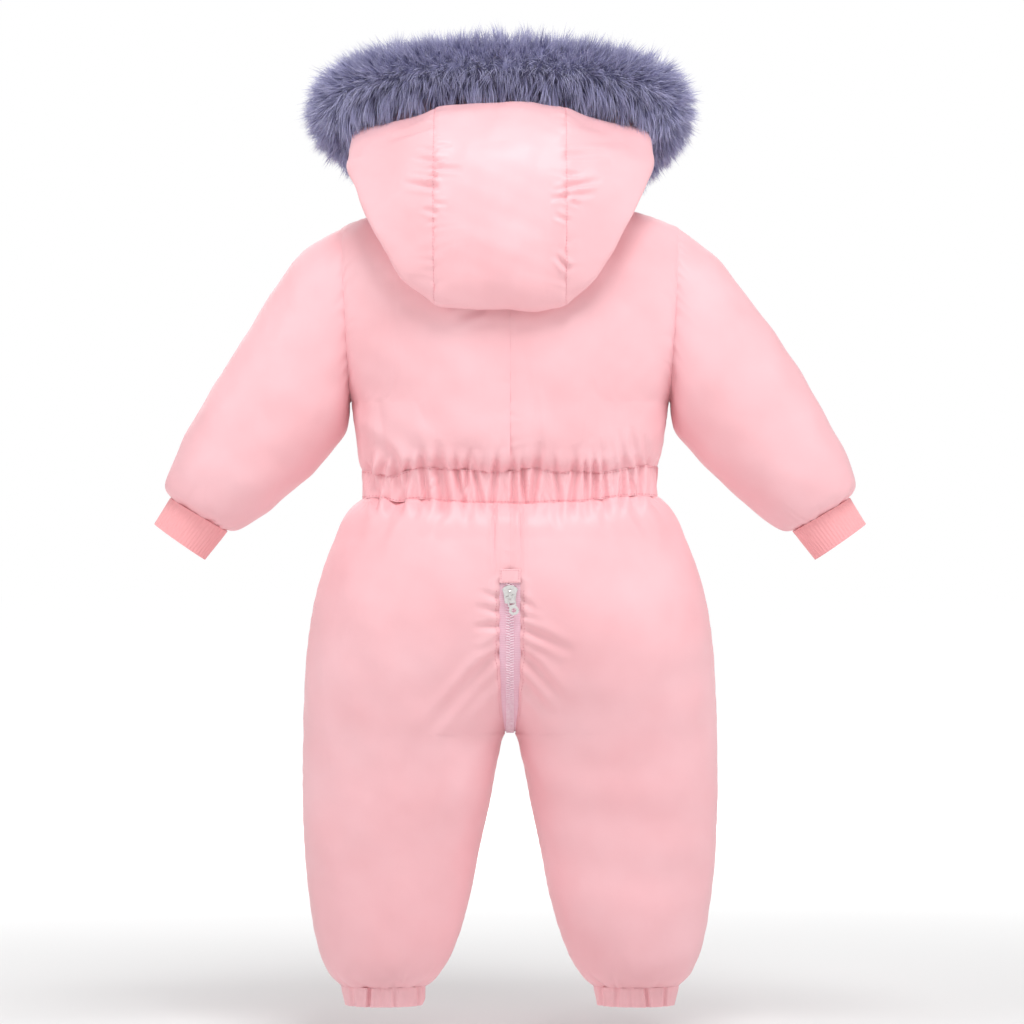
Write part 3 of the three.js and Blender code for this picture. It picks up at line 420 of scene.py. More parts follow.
@dataclass(frozen=True)
class Cut:
    """Sizes that several pieces share, in millimetres, and the lines where they are sewn together."""

    seam_gap: float = 0.02
    padding: float = 7.5
    hood_padding: float = 6.0
    rib_thickness: float = 3.0
    band_thickness: float = 5.0
    waist_top: float = -225.0
    waist_bottom: float = -253.0
    underarm_x: float = 146.0
    underarm_z: float = -164.0
    tip_x: float = 155.0
    tip_z: float = -2.0
    shoulder_puff: float = 5.0
    armhole_back: float = 52.0
    armhole_front: float = 48.0
    roll_z: float = -55.0
    neck_half: float = 74.0
    neck_side_z: float = 16.0
    neck_back: float = 48.0
    neck_back_z: float = -2.0
    neck_front: float = 52.0
    neck_front_z: float = -48.0
    crotch: float = -467.0
    ankle_top: float = -699.0
    ankle_bottom: float = -717.0
    squareness: float = 2.3

    def rounded(self, share: Array) -> Array:
        """Depth of the body's cross-section at a share of its half width: a circle with a higher power."""
        return np.maximum(1 - np.abs(share) ** self.squareness, 0) ** (1 / self.squareness)

    def armhole(self, z: Array, face: Face) -> tuple[Array, Array]:
        """Armhole at one height: x goes straight from underarm to shoulder, y is a half circle's depth.

        Args:
            z: Heights.
            face: Back or front.

        Returns:
            Distances from the middle, and depths.
        """
        share = np.clip((z - self.underarm_z) / (self.tip_z - self.underarm_z), 0, 1)
        depth = self.armhole_back if face is Face.BACK else self.armhole_front
        bow = np.sqrt(np.maximum(1 - (2 * share - 1) ** 2, 0))
        return mix(self.underarm_x, self.tip_x, share), depth * bow

    def neckline(self, degrees: Array | float) -> Array:
        """Seam round the neck, 0 in front and 180 behind: an ellipse that dips to front and back.

        Args:
            degrees: Angles round the neck.

        Returns:
            Points of the seam.
        """
        turn = np.radians(degrees)
        share = np.abs(np.cos(turn))
        front = np.cos(turn) > 0
        depth = np.where(front, -self.neck_front, self.neck_back) * share
        low = np.where(front, self.neck_front_z, self.neck_back_z)
        return xyz(self.neck_half * np.sin(turn), depth, mix(self.neck_side_z, low, share**1.7))

    def shoulder(self, x: Array) -> Array:
        """Shoulder seam: a straight line from neck to armhole, bowed up by half a sine wave.

        Args:
            x: Distances from the middle.

        Returns:
            Points of the seam.
        """
        share = np.clip((x - self.neck_half) / (self.tip_x - self.neck_half), 0, 1)
        puff = self.shoulder_puff * np.sin(np.pi * share)
        return xyz(x, 0.0, mix(self.neck_side_z, self.tip_z, share) + puff)

    def top_line(self, x: Array, face: Face) -> Array:
        """Upper edge of the bodice: the neckline inside the neck, and the shoulder seam outside it.

        Args:
            x: Distances from the middle.
            face: Back or front.

        Returns:
            Points of the edge.
        """
        turn = np.degrees(np.arcsin(np.clip(x / self.neck_half, 0, 1)))
        neck = self.neckline(180 - turn if face is Face.BACK else turn)
        return np.where((x < self.neck_half)[..., None], neck, self.shoulder(x))


CUT = Cut()


class Grid:
    """A panel's points with their normals and their distances, along the cloth, from each of its edges."""

    def __init__(self, points: Array, heart: Array, ring: bool) -> None:
        """Measures the grid.

        Args:
            points: Rows of points in millimetres.
            heart: A place inside the garment, which the normals point away from.
            ring: Whether the last column lies on the first.
        """
        self.points, self.ring = points, ring
        wide = np.concatenate([points[:, -2:-1], points, points[:, 1:2]], axis=1) if ring else points
        across = np.gradient(wide, axis=1)
        across = across[:, 1:-1] if ring else across
        normals = unit(np.cross(across, np.gradient(points, axis=0)))
        middle = (points.shape[0] // 2, points.shape[1] // 2)
        self.facing = 1.0 if np.dot(normals[middle], points[middle] - heart) > 0 else -1.0
        self.normals = normals * self.facing
        self.across = self.arc(points, 1)
        self.upward = self.arc(points, 0)
        ends = [self.upward, self.upward[-1:] - self.upward]
        if not ring:
            ends += [self.across, self.across[:, -1:] - self.across]
        self.seam = np.minimum.reduce(ends)

    @staticmethod
    def arc(points: Array, axis: int) -> Array:
        """Length of cloth from the first point of each row or column: the sum of the straight steps.

        Args:
            points: Points in millimetres.
            axis: Axis of the grid to go along.

        Returns:
            Lengths.
        """
        steps = np.linalg.norm(np.diff(points, axis=axis), axis=-1)
        start = np.zeros_like(steps.take([0], axis=axis))
        return np.concatenate([start, np.cumsum(steps, axis=axis)], axis=axis)

    def from_edge(self, edge: Edge) -> tuple[Array, Array, float]:
        """Distance from an edge, share of the way along it, and its length.

        Args:
            edge: The edge.

        Returns:
            Distances, shares, and the edge's length.
        """
        if edge in (Edge.LEFT, Edge.RIGHT):
            share = self.upward / np.maximum(self.upward[-1:], 1e-6)
            if edge is Edge.LEFT:
                return self.across, share, float(self.upward[-1, 0])
            return self.across[:, -1:] - self.across, share, float(self.upward[-1, -1])
        share = self.across / np.maximum(self.across[:, -1:], 1e-6)
        if edge is Edge.LOW:
            return self.upward, share, float(self.across[0, -1])
        return self.upward[-1:] - self.upward, share, float(self.across[-1, -1])


@dataclass(frozen=True)
class Pull:
    """Seams drawn in by their thread: a dip that fades as a stretched exponential of the distance."""

    edges: tuple[Edge, ...]
    depth: float = 1.5
    reach: float = 4.0

    def __call__(self, grid: Grid) -> Array:
        """Relief in millimetres."""
        shares = [grid.from_edge(edge)[0] / self.reach for edge in self.edges]
        return -self.depth * np.sum([np.exp(-(share**1.3)) for share in shares], axis=0)


@dataclass(frozen=True)
class Gathers:
    """Uneven ripples that run in from a sewn edge.

    Valleys stand at knots with random steps between them. Between two knots the cloth rises in a wave, flat
    on top where the power is under 1. Height, reach and slant are drawn for each knot and shared between.
    """

    edge: Edge
    pitch: float
    depth: float
    reach: float
    seed: int
    power: float = 0.65
    slant: float = 0.3

    def __call__(self, grid: Grid) -> Array:
        """Relief in millimetres.

        Args:
            grid: The piece to be shaped.

        Returns:
            Millimetres outward for each point.
        """
        distance, share, length = grid.from_edge(self.edge)
        rng = np.random.default_rng(self.seed)
        count = max(round(length / self.pitch), 4)
        steps = rng.uniform(0.5, 1.5, count)
        knots = np.concatenate([[0], np.cumsum(steps)]) / steps.sum()
        size = rng.uniform(0.35, 1.3, count + 1)
        reach = self.reach * rng.uniform(0.45, 1.6, count + 1)
        slant = rng.normal(0, self.slant, count + 1)
        if grid.ring:
            size[-1], reach[-1], slant[-1] = size[0], reach[0], slant[0]
        place = share + np.interp(share, knots, slant) * distance / length
        place = np.mod(place, 1.0) if grid.ring else np.clip(place, 0, 1)
        k = np.clip(np.searchsorted(knots, place, side="right") - 1, 0, count - 1)
        turn = (place - knots[k]) / (knots[k + 1] - knots[k])
        wave = (0.5 - 0.5 * np.cos(2 * np.pi * turn)) ** self.power - 0.6
        fade = np.exp(-((distance / np.interp(place, knots, reach)) ** 1.2))
        return self.depth * np.interp(place, knots, size) * wave * fade


@dataclass(frozen=True)
class Creases:
    """Creases placed one by one: a bell-shaped valley along a straight line with a low ridge on both sides.

    A crease is deepest where it starts, at a seam, and dies out as a quarter of a cosine towards its end. An
    even one keeps its depth. Past both ends it fades as a bell curve, as many widths wide as its tail says.
    """

    table: Table
    ridge: float = 0.45
    even: bool = False
    tail: float = 1.0
    flip: bool = False
    strength: float = 1.0

    def __call__(self, grid: Grid) -> Array:
        """Relief in millimetres.

        Args:
            grid: The piece to be shaped.

        Returns:
            Millimetres outward for each point.
        """
        x, z = grid.points[..., 0, None] * (-1 if self.flip else 1), grid.points[..., 2, None]
        x0, z0, x1, z1, width, depth = self.table.values.T
        dx, dz = x1 - x0, z1 - z0
        length = np.hypot(dx, dz)
        along = ((x - x0) * dx + (z - z0) * dz) / length**2
        off = ((x - x0) * dz - (z - z0) * dx) / length / width
        beyond = length * (np.maximum(-along, 0) + np.maximum(along - 1, 0)) / (width * self.tail)
        fade = 1.0 if self.even else np.cos(np.clip(along, 0, 1) * np.pi / 2) ** 0.8
        valley = -np.exp(-(off**2))
        ridges = self.ridge * (np.exp(-((off - 1.8) ** 2)) + np.exp(-((off + 1.8) ** 2)))
        return self.strength * np.sum(depth * fade * np.exp(-(beyond**2)) * (valley + ridges), axis=-1)


@dataclass(frozen=True)
class Slack:
    """Soft unevenness of the filling: sine waves through space in random directions, flat at the seams."""

    seed: int
    waves: tuple[tuple[float, float], ...] = ((110.0, 1.3), (46.0, 0.55), (21.0, 0.16))
    parts: int = 6

    def __call__(self, grid: Grid) -> Array:
        """Relief in millimetres.

        Args:
            grid: The piece to be shaped.

        Returns:
            Millimetres outward for each point.
        """
        rng = np.random.default_rng(self.seed)
        total = np.zeros(grid.points.shape[:2])
        for wavelength, height in self.waves:
            for way in unit(rng.normal(size=(self.parts, 3))):
                turn = 2 * np.pi * (grid.points @ way) / (wavelength * rng.uniform(0.75, 1.35))
                total += height / math.sqrt(self.parts) * 1.3 * np.sin(turn + rng.uniform(0, 2 * np.pi))
        return total * (1 - np.exp(-((grid.seam / 18) ** 1.5)))


@dataclass(frozen=True)
class Ribs:
    """Knitted ribs: an even cosine round a ring."""

    count: int
    height: float

    def __call__(self, grid: Grid) -> Array:
        """Relief in millimetres."""
        share = grid.from_edge(Edge.LOW)[1]
        return self.height * (0.5 * np.cos(2 * np.pi * self.count * share) - 0.5)


@dataclass(frozen=True)
class Lip:
    """Cloth that stands up beside a zip: a low ridge at one distance from the edge, between two heights."""

    edge: Edge
    away: float
    width: float
    height: float
    top: float
    bottom: float

    def __call__(self, grid: Grid) -> Array:
        """Relief in millimetres.

        Args:
            grid: The piece to be shaped.

        Returns:
            Millimetres outward for each point.
        """
        distance = grid.from_edge(self.edge)[0]
        z = grid.points[..., 2]
        held = ease(z, self.bottom - 8, self.bottom + 8) * (1 - ease(z, self.top - 8, self.top + 8))
        return self.height * held * np.exp(-(((distance - self.away) / self.width) ** 2))


Relief = Callable[[Grid], Array]


def oriented(points: Array, faces: list[Array]) -> list[Array]:
    """The faces of a closed mesh, all turned round if its volume comes out negative.

    Args:
        points: Points in millimetres.
        faces: Groups of faces.

    Returns:
        Faces that point outward.
    """
    volume = 0.0
    for group in faces:
        a = points[group[:, 0]]
        for k in range(1, group.shape[1] - 1):
            volume += float(np.einsum("ij,ij->", a, np.cross(points[group[:, k]], points[group[:, k + 1]])))
    return [group[:, ::-1] for group in faces] if volume < 0 else faces


def put_mesh(
    name: str,
    points: Array,
    faces: Sequence[Array],
    finishes: Sequence[bpy.types.Material],
    uv: Array | None = None,
    slots: Array | None = None,
    tint: Array | None = None,
    sharp: float = 50.0,
) -> bpy.types.Object:
    """Puts arrays into a mesh and its object into the scene.

    Args:
        name: Name of the piece.
        points: Vertices in millimetres.
        faces: Groups of faces, each an array of vertex numbers with one row for a face.
        finishes: Materials of the piece.
        uv: Distances along the cloth in metres, one pair for each corner.
        slots: Material number of each face.
        tint: Colour of each vertex.
        sharp: Angle in degrees above which an edge isn't shaded smooth.

    Returns:
        The object, at the origin.
    """
    mesh = bpy.data.meshes.new(name)
    corners = np.concatenate([group.ravel() for group in faces]).astype(np.int32)
    sizes = np.concatenate([np.full(len(group), group.shape[1]) for group in faces])
    starts = (np.cumsum(sizes) - sizes).astype(np.int32)
    mesh.vertices.add(len(points))
    mesh.vertices.foreach_set("co", (points * MM).astype(np.float32).ravel())
    mesh.loops.add(len(corners))
    mesh.loops.foreach_set("vertex_index", corners)
    mesh.polygons.add(len(starts))
    mesh.polygons.foreach_set("loop_start", starts)
    if slots is not None:
        mesh.polygons.foreach_set("material_index", slots.astype(np.int32))
    mesh.update(calc_edges=True)
    if uv is not None:
        mesh.uv_layers.new(name="cloth").uv.foreach_set("vector", uv.astype(np.float32).ravel())
    if tint is not None:
        layer = mesh.color_attributes.new(name="tint", type="FLOAT_COLOR", domain="POINT")
        layer.data.foreach_set("color", tint.astype(np.float32).ravel())
    mesh.shade_smooth()
    mesh.set_sharp_from_angle(angle=math.radians(sharp))
    for finish in finishes:
        mesh.materials.append(finish)
    made = bpy.data.objects.new(name, mesh)
    bpy.context.scene.collection.objects.link(made)
    return made


def dress(made: bpy.types.Object, slot: Slot, *nodes: str, body: str = "suit") -> bpy.types.Object:
    """Ties a piece to its body, and hides the solids that it stands for.

    Args:
        made: The piece.
        slot: Its material slot; not used.
        body: The body that it rides on.
        nodes: Solids that it stands for.

    Returns:
        The same piece.
    """
    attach(made, body)
    if nodes:
        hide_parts(*nodes)
    LOG.info("%s: %d faces on %s", made.name, len(made.data.polygons), body)
    return made


def snapped(values: Array, *marks: float) -> Array:
    """Grid lines with the nearest one moved onto each mark.

    Args:
        values: Positions in order.
        marks: Positions that a line has to have.

    Returns:
        The changed positions.
    """
    out = values.copy()
    for mark in marks:
        out[np.argmin(np.abs(out - mark))] = mark
    return out


@dataclass
class Panel:
    """One sewn piece: a wall whose outside carries its relief over a plain inside, closed at every edge."""

    name: str
    at: Surface
    columns: Array
    rows: Array
    heart: Array
    reliefs: Sequence[Relief] = ()
    lean: Lean = field(default=lambda u, v, n: n)
    thickness: float = CUT.padding
    ring: bool = False
    settle: Callable[[Array, Array], Array] = field(default=lambda points, v: points)
    coarse: int = 4

    def mirrored(self, name: str, reliefs: Sequence[Relief]) -> "Panel":
        """The same piece on the wearer's right, with relief of its own.

        Args:
            name: Name of the new piece.
            reliefs: Its own reliefs.

        Returns:
            The new piece.
        """
        return Panel(
            name,
            lambda u, v: self.at(u, v) * FLIP,
            self.columns,
            self.rows,
            self.heart * FLIP,
            reliefs,
            lambda u, v, n: self.lean(u, v, n * FLIP) * FLIP,
            self.thickness,
            self.ring,
            self.settle,
            self.coarse,
        )

    def build(self, finishes: Sequence[bpy.types.Material]) -> bpy.types.Object:
        """Makes the wall.

        Outer points are the surface moved along the lean by the sum of the reliefs, whose depth is rounded
        off by a hyperbolic tangent before it reaches the inside. Inner points are every fourth point of the
        surface, one thickness below. Strips of many-sided faces close the edges.

        Args:
            finishes: Material outside and inside.

        Returns:
            The piece, not yet dressed.
        """
        u, v = np.meshgrid(self.columns, self.rows)
        surface = self.settle(self.at(u, v), v)
        self.grid = Grid(surface, self.heart, self.ring)
        way = unit(self.lean(u, v, self.grid.normals.copy()))
        relief = np.sum([item(self.grid) for item in self.reliefs], axis=0) if self.reliefs else 0 * u
        deepest = 0.68 * self.thickness
        relief = np.where(relief < 0, deepest * np.tanh(relief / deepest), relief)
        self.outer = surface + way * relief[..., None]
        inner = (surface - way * self.thickness)[:: self.coarse, :: self.coarse]
        tall, wide = u.shape
        low_tall, low_wide = inner.shape[:2]
        full = np.arange(tall * wide).reshape(tall, wide)
        deep = full.size + np.arange(low_tall * low_wide).reshape(low_tall, low_wide)
        outside = self.quads(full)
        inside = self.quads(deep)[:, ::-1]
        rims = [self.rim(full[0], deep[0]), self.rim(full[-1], deep[-1])[:, ::-1]]
        if not self.ring:
            rims += [self.rim(full[:, 0], deep[:, 0])[:, ::-1], self.rim(full[:, -1], deep[:, -1])]
        faces = [outside, inside, *rims]
        if self.grid.facing < 0:
            faces = [group[:, ::-1] for group in faces]
        reach = np.stack([self.grid.across, self.grid.upward], axis=-1) * MM
        flat = np.concatenate([reach.reshape(-1, 2), reach[:: self.coarse, :: self.coarse].reshape(-1, 2)])
        uv = np.concatenate([flat[group].reshape(-1, 2) for group in faces])
        points = np.concatenate([self.outer.reshape(-1, 3), inner.reshape(-1, 3)])
        if self.ring:
            points, faces = self.joined(points, faces, (full, deep))
        slots = np.concatenate([np.full(len(group), 1 if i == 1 else 0) for i, group in enumerate(faces)])
        return put_mesh(self.name, points, faces, finishes, uv=uv, slots=slots)

    @staticmethod
    def quads(index: Array) -> Array:
        """Four-sided faces between neighbours of a grid of vertex numbers."""
        corners = [index[:-1, :-1], index[:-1, 1:], index[1:, 1:], index[1:, :-1]]
        return np.stack(corners, axis=-1).reshape(-1, 4)

    def rim(self, outer: Array, inner: Array) -> Array:
        """Faces that close one edge: each joins the outer points of one coarse step to two inner points.

        Args:
            outer: Outer vertex numbers along the edge.
            inner: Inner vertex numbers along it.

        Returns:
            The faces.
        """
        parts = [outer[k :: self.coarse][: len(inner) - 1] for k in range(self.coarse)]
        parts.append(outer[self.coarse :: self.coarse])
        return np.stack([*parts[::-1], inner[:-1], inner[1:]], axis=-1)

    @staticmethod
    def joined(points: Array, faces: list[Array], grids: tuple[Array, ...]) -> tuple[Array, list[Array]]:
        """Leaves out the last column of each grid, which lies on its first.

        Args:
            points: Points in millimetres.
            faces: Groups of faces.
            grids: Vertex numbers of the outer and the inner grid.

        Returns:
            Points and faces that are left.
        """
        target = np.arange(len(points))
        for grid in grids:
            target[grid[:, -1]] = grid[:, 0]
        kept = np.unique(target)
        number = np.full(len(points), -1)
        number[kept] = np.arange(len(kept))
        return points[kept], [number[target[group]] for group in faces]

    def line(self, edge: Edge, away: float) -> tuple[Array, Array]:
        """Points and normals of the finished outside along a line at one distance from an edge.

        Args:
            edge: The edge.
            away: Distance from the edge.

        Returns:
            Points and normals.
        """
        distance = self.grid.from_edge(edge)[0]
        axis = 1 if edge in (Edge.LEFT, Edge.RIGHT) else 0
        order = 1 if edge in (Edge.LEFT, Edge.LOW) else -1
        sample = distance if axis == 1 else distance.T
        outer = self.outer if axis == 1 else self.outer.transpose(1, 0, 2)
        normals = self.grid.normals if axis == 1 else self.grid.normals.transpose(1, 0, 2)
        sample, outer, normals = sample[:, ::order], outer[:, ::order], normals[:, ::order]
        i = np.clip((sample < away).sum(axis=1) - 1, 0, sample.shape[1] - 2)
        row = np.arange(len(i))
        share = ((away - sample[row, i]) / np.maximum(sample[row, i + 1] - sample[row, i], 1e-9))[:, None]
        way = mix(normals[row, i], normals[row, i + 1], share)
        return mix(outer[row, i], outer[row, i + 1], share), unit(way)


class Tree:
    """A material's nodes, written down one link at a time."""

    def __init__(self, name: str) -> None:
        """Starts a material that holds a Principled shader.

        Args:
            name: Name of the material.
        """
        self.material = bpy.data.materials.new(name)
        self.material.use_nodes = True
        self.nodes, self.links = self.material.node_tree.nodes, self.material.node_tree.links
        self.nodes.clear()
        self.shader = self.nodes.new("ShaderNodeBsdfPrincipled")
        output = self.nodes.new("ShaderNodeOutputMaterial")
        self.links.new(self.shader.outputs[0], output.inputs[0])

    def node(
        self, kind: str, inputs: dict[str | int, object] | None = None, **settings: object
    ) -> bpy.types.Node:
        """Adds a node with settings, and with each input either linked to a socket or set to a value.

        Args:
            kind: Type of the node.
            inputs: Socket or value of each input.
            settings: Properties of the node.

        Returns:
            The node.
        """
        made = self.nodes.new(kind)
        for key, value in settings.items():
            setattr(made, key, value)
        for key, value in (inputs or {}).items():
            if isinstance(value, bpy.types.NodeSocket):
                self.links.new(value, made.inputs[key])
            else:
                made.inputs[key].default_value = value
        return made

    def set(self, **values: object) -> None:
        """Sets or links sockets of the shader, named in lower case with underscores.

        Args:
            values: Socket names with their values.
        """
        for key, value in values.items():
            socket = self.shader.inputs[key.replace("_", " ").title().replace("Ior", "IOR")]
            if isinstance(value, bpy.types.NodeSocket):
                self.links.new(value, socket)
            else:
                socket.default_value = value

    def object_point(self) -> bpy.types.NodeSocket:
        """Object coordinates, in metres."""
        return self.node("ShaderNodeTexCoord").outputs["Object"]

    def cloth_point(self) -> bpy.types.NodeSocket:
        """Distances along the cloth, in metres."""
        return self.node("ShaderNodeUVMap", uv_map="cloth").outputs[0]

    def noise(self, vector: bpy.types.NodeSocket, scale: float, detail: float = 2.0) -> bpy.types.NodeSocket:
        """Cloudy noise from 0 to 1."""
        inputs = {"Vector": vector, "Scale": scale, "Detail": detail}
        return self.node("ShaderNodeTexNoise", inputs).outputs[0]

    def bands(
        self, vector: bpy.types.NodeSocket, pitch: float, way: str, wobble: float = 0.0
    ) -> bpy.types.NodeSocket:
        """Sine bands one pitch in millimetres apart. The node's period is pi over ten times its scale.

        Args:
            vector: Where to read.
            pitch: Distance between two bands.
            way: Axis across the bands.
            wobble: How far they wander.

        Returns:
            The output socket.
        """
        scale = math.pi / 10 / (pitch * MM)
        inputs = {"Vector": vector, "Scale": scale, "Distortion": wobble}
        return self.node("ShaderNodeTexWave", inputs, bands_direction=way).outputs["Fac"]

    def math(self, kind: str, a: object, b: object = 0.0) -> bpy.types.NodeSocket:
        """One sum."""
        return self.node("ShaderNodeMath", {0: a, 1: b}, operation=kind).outputs[0]

    def colour(self, factor: bpy.types.NodeSocket, *stops: tuple[float, Colour]) -> bpy.types.NodeSocket:
        """Colour ramp through stops of place and linear colour.

        Args:
            factor: Socket that drives the ramp.
            stops: Places and colours.

        Returns:
            The output socket.
        """
        ramp = self.node("ShaderNodeValToRGB", {0: factor})
        elements = ramp.color_ramp.elements
        for i, (place, rgb) in enumerate(stops):
            stop = elements[i] if i < 2 else elements.new(place)
            stop.position, stop.color = place, (*rgb, 1.0)
        return ramp.outputs[0]

    def bump(
        self, height: bpy.types.NodeSocket, distance: float, strength: float = 1.0, under: object = None
    ) -> bpy.types.NodeSocket:
        """Bump of a height from 0 to 1 that stands for a distance in millimetres, over another bump.

        Args:
            height: Socket with the height.
            distance: Full height in millimetres.
            strength: Share of it that shows.
            under: A bump below this one, or None.

        Returns:
            The output socket.
        """
        inputs = {"Height": height, "Distance": distance * MM, "Strength": strength}
        if under is not None:
            inputs["Normal"] = under
        return self.node("ShaderNodeBump", inputs).outputs[0]


@dataclass(frozen=True)
class Satin:
    """Plain-woven polyester with a soft shine, slightly uneven where the filling presses."""

    name: str = "shell_cloth"
    light: Colour = (0.915, 0.53, 0.568)
    dark: Colour = (0.885, 0.47, 0.504)
    roughness: float = 0.48
    sheen: float = 0.22
    thread: float = 0.42

    def make(self) -> bpy.types.Material:
        """Builds the material: crossed bands for the threads over two sizes of soft noise.

        Returns:
            The material.
        """
        tree = Tree(self.name)
        point, cloth = tree.object_point(), tree.cloth_point()
        clouds = tree.noise(point, 14, 3)
        warp = tree.bands(cloth, self.thread, "X", 0.3)
        weft = tree.bands(cloth, self.thread, "Y", 0.3)
        weave = tree.math("MULTIPLY", warp, weft)
        soft = tree.bump(tree.noise(point, 75, 3), 0.45, 0.5)
        tree.set(
            base_color=tree.colour(clouds, (0.3, self.dark), (0.7, self.light)),
            roughness=self.roughness,
            sheen_weight=self.sheen,
            sheen_roughness=0.4,
            sheen_tint=(1.0, 0.85, 0.88, 1.0),
            specular_ior_level=0.42,
            normal=tree.bump(weave, 0.05, 0.35, soft),
        )
        return tree.material


@dataclass(frozen=True)
class Fleece:
    """Soft lining with a short brushed nap."""

    name: str = "lining_fleece"
    light: Colour = (0.96, 0.68, 0.68)
    dark: Colour = (0.9, 0.57, 0.58)

    def make(self) -> bpy.types.Material:
        """Builds the material: fine noise both as colour and as bump, under a strong sheen.

        Returns:
            The material.
        """
        tree = Tree(self.name)
        point = tree.object_point()
        nap = tree.noise(point, 900, 4)
        tree.set(
            base_color=tree.colour(nap, (0.35, self.dark), (0.65, self.light)),
            roughness=0.95,
            sheen_weight=0.5,
            sheen_roughness=0.6,
            normal=tree.bump(nap, 0.6, 0.6, tree.bump(tree.noise(point, 160, 2), 0.8, 0.5)),
        )
        return tree.material


@dataclass(frozen=True)
class Knit:
    """Fine rib knit: rows of stitches across the ribs."""

    name: str = "cuff_knit"
    light: Colour = (0.97, 0.46, 0.48)
    dark: Colour = (0.93, 0.38, 0.40)
    stitch: float = 1.1

    def make(self) -> bpy.types.Material:
        """Builds the material: wavy bands for the stitches, with painted shade between them where the bands
        are low.

        Returns:
            The material.
        """
        tree = Tree(self.name)
        cloth = tree.cloth_point()
        rows = tree.bands(cloth, self.stitch, "Y", 2.0)
        wales = tree.bands(cloth, self.stitch * 0.9, "X", 1.0)
        loops = tree.math("MULTIPLY", rows, wales)
        tree.set(
            # Painted shade: the colour is darker where the loops are low, in the hollows between the
            # stitches.
            base_color=tree.colour(loops, (0.0, self.dark), (0.55, self.light)),
            roughness=0.85,
            sheen_weight=0.3,
            sheen_roughness=0.5,
            normal=tree.bump(loops, 0.3, 0.6),
        )
        return tree.material


@dataclass(frozen=True)
class Tape:
    """Woven zip tape with cross ribs, a little bluer than the cloth."""

    name: str = "zip_tape"
    light: Colour = (0.97, 0.66, 0.76)
    dark: Colour = (0.84, 0.5, 0.61)

    def make(self) -> bpy.types.Material:
        """Builds the material: bands of ribs across fine cords, with painted shade in the hollows of the
        weave.

        Returns:
            The material.
        """
        tree = Tree(self.name)
        cloth = tree.cloth_point()
        twill = tree.bands(cloth, 1.7, "Y", 0.5)
        cords = tree.bands(cloth, 1.1, "X", 0.2)
        weave = tree.math("MULTIPLY", twill, cords)
        tree.set(
            # Painted shade: the colour is darker where the weave is low, in the hollows between ribs and
            # cords.
            base_color=tree.colour(weave, (0.0, self.dark), (0.7, self.light)),
            roughness=0.7,
            sheen_weight=0.15,
            normal=tree.bump(weave, 0.15, 0.6),
        )
        return tree.material


@dataclass(frozen=True)
class Plastic:
    """Dyed nylon of zip teeth, and sewing thread whose dark pink is painted shade of its stitch holes."""

    name: str
    light: Colour
    dark: Colour
    roughness: float = 0.4

    def make(self) -> bpy.types.Material:
        """Builds the material: slight colour clouds and a faint unevenness.

        Returns:
            The material.
        """
        tree = Tree(self.name)
        clouds = tree.noise(tree.object_point(), 380, 2)
        tree.set(
            base_color=tree.colour(clouds, (0.35, self.dark), (0.65, self.light)),
            roughness=self.roughness,
            normal=tree.bump(clouds, 0.05, 0.4),
        )
        return tree.material


@dataclass(frozen=True)
class Hair:
    """Faux fur: each strand's own colour from root to tip, with painted shade on some strands, and a silky
    shine.
    """

    name: str = "faux_fur"
    roughness: float = 0.5

    def make(self) -> bpy.types.Material:
        """Builds the material from the strands' tint.

        Returns:
            The material.
        """
        tree = Tree(self.name)
        tint = tree.node("ShaderNodeAttribute", attribute_name="tint").outputs["Color"]
        tree.set(base_color=tint, roughness=self.roughness, sheen_weight=0.25, sheen_roughness=0.4)
        return tree.material


@dataclass(frozen=True)
class CastMetal:
    """Plated zinc of the sliders: bright, faintly scratched, duller in spots."""

    name: str = "slider_metal"
    light: Colour = (0.72, 0.7, 0.69)
    dark: Colour = (0.62, 0.6, 0.59)

    def make(self) -> bpy.types.Material:
        """Builds the material: noise drives colour, roughness and a fine bump.

        Returns:
            The material.
        """
        tree = Tree(self.name)
        point = tree.object_point()
        spots = tree.noise(point, 520, 3)
        rough = tree.node("ShaderNodeMapRange", {"Value": spots, "To Min": 0.24, "To Max": 0.36}).outputs[0]
        tree.set(
            base_color=tree.colour(spots, (0.3, self.dark), (0.6, self.light)),
            metallic=1.0,
            roughness=rough,
            normal=tree.bump(tree.noise(point, 1400, 2), 0.015, 0.4),
        )
        return tree.material


@dataclass
class Wardrobe:
    """All finishes of the suit, made once."""

    shell: bpy.types.Material = field(default_factory=lambda: Satin().make())
    lining: bpy.types.Material = field(default_factory=lambda: Fleece().make())
    knit: bpy.types.Material = field(default_factory=lambda: Knit().make())
    tape: bpy.types.Material = field(default_factory=lambda: Tape().make())
    fur: bpy.types.Material = field(default_factory=lambda: Hair().make())
    metal: bpy.types.Material = field(default_factory=lambda: CastMetal().make())
    teeth: bpy.types.Material = field(
        default_factory=lambda: Plastic("zip_nylon", (1.0, 0.8, 0.87), (0.93, 0.68, 0.77)).make()
    )
    # The thread's dark pink is painted shade of the stitch holes; the thread itself is about the cloth's
    # pink.
    thread: bpy.types.Material = field(
        default_factory=lambda: Plastic("stitch_thread_painted_shade", (0.74, 0.28, 0.33), (0.66, 0.22, 0.27), 0.6).make()
    )

    @property
    def cloth(self) -> tuple[bpy.types.Material, bpy.types.Material]:
        """Outside and inside of a padded piece."""
        return self.shell, self.lining


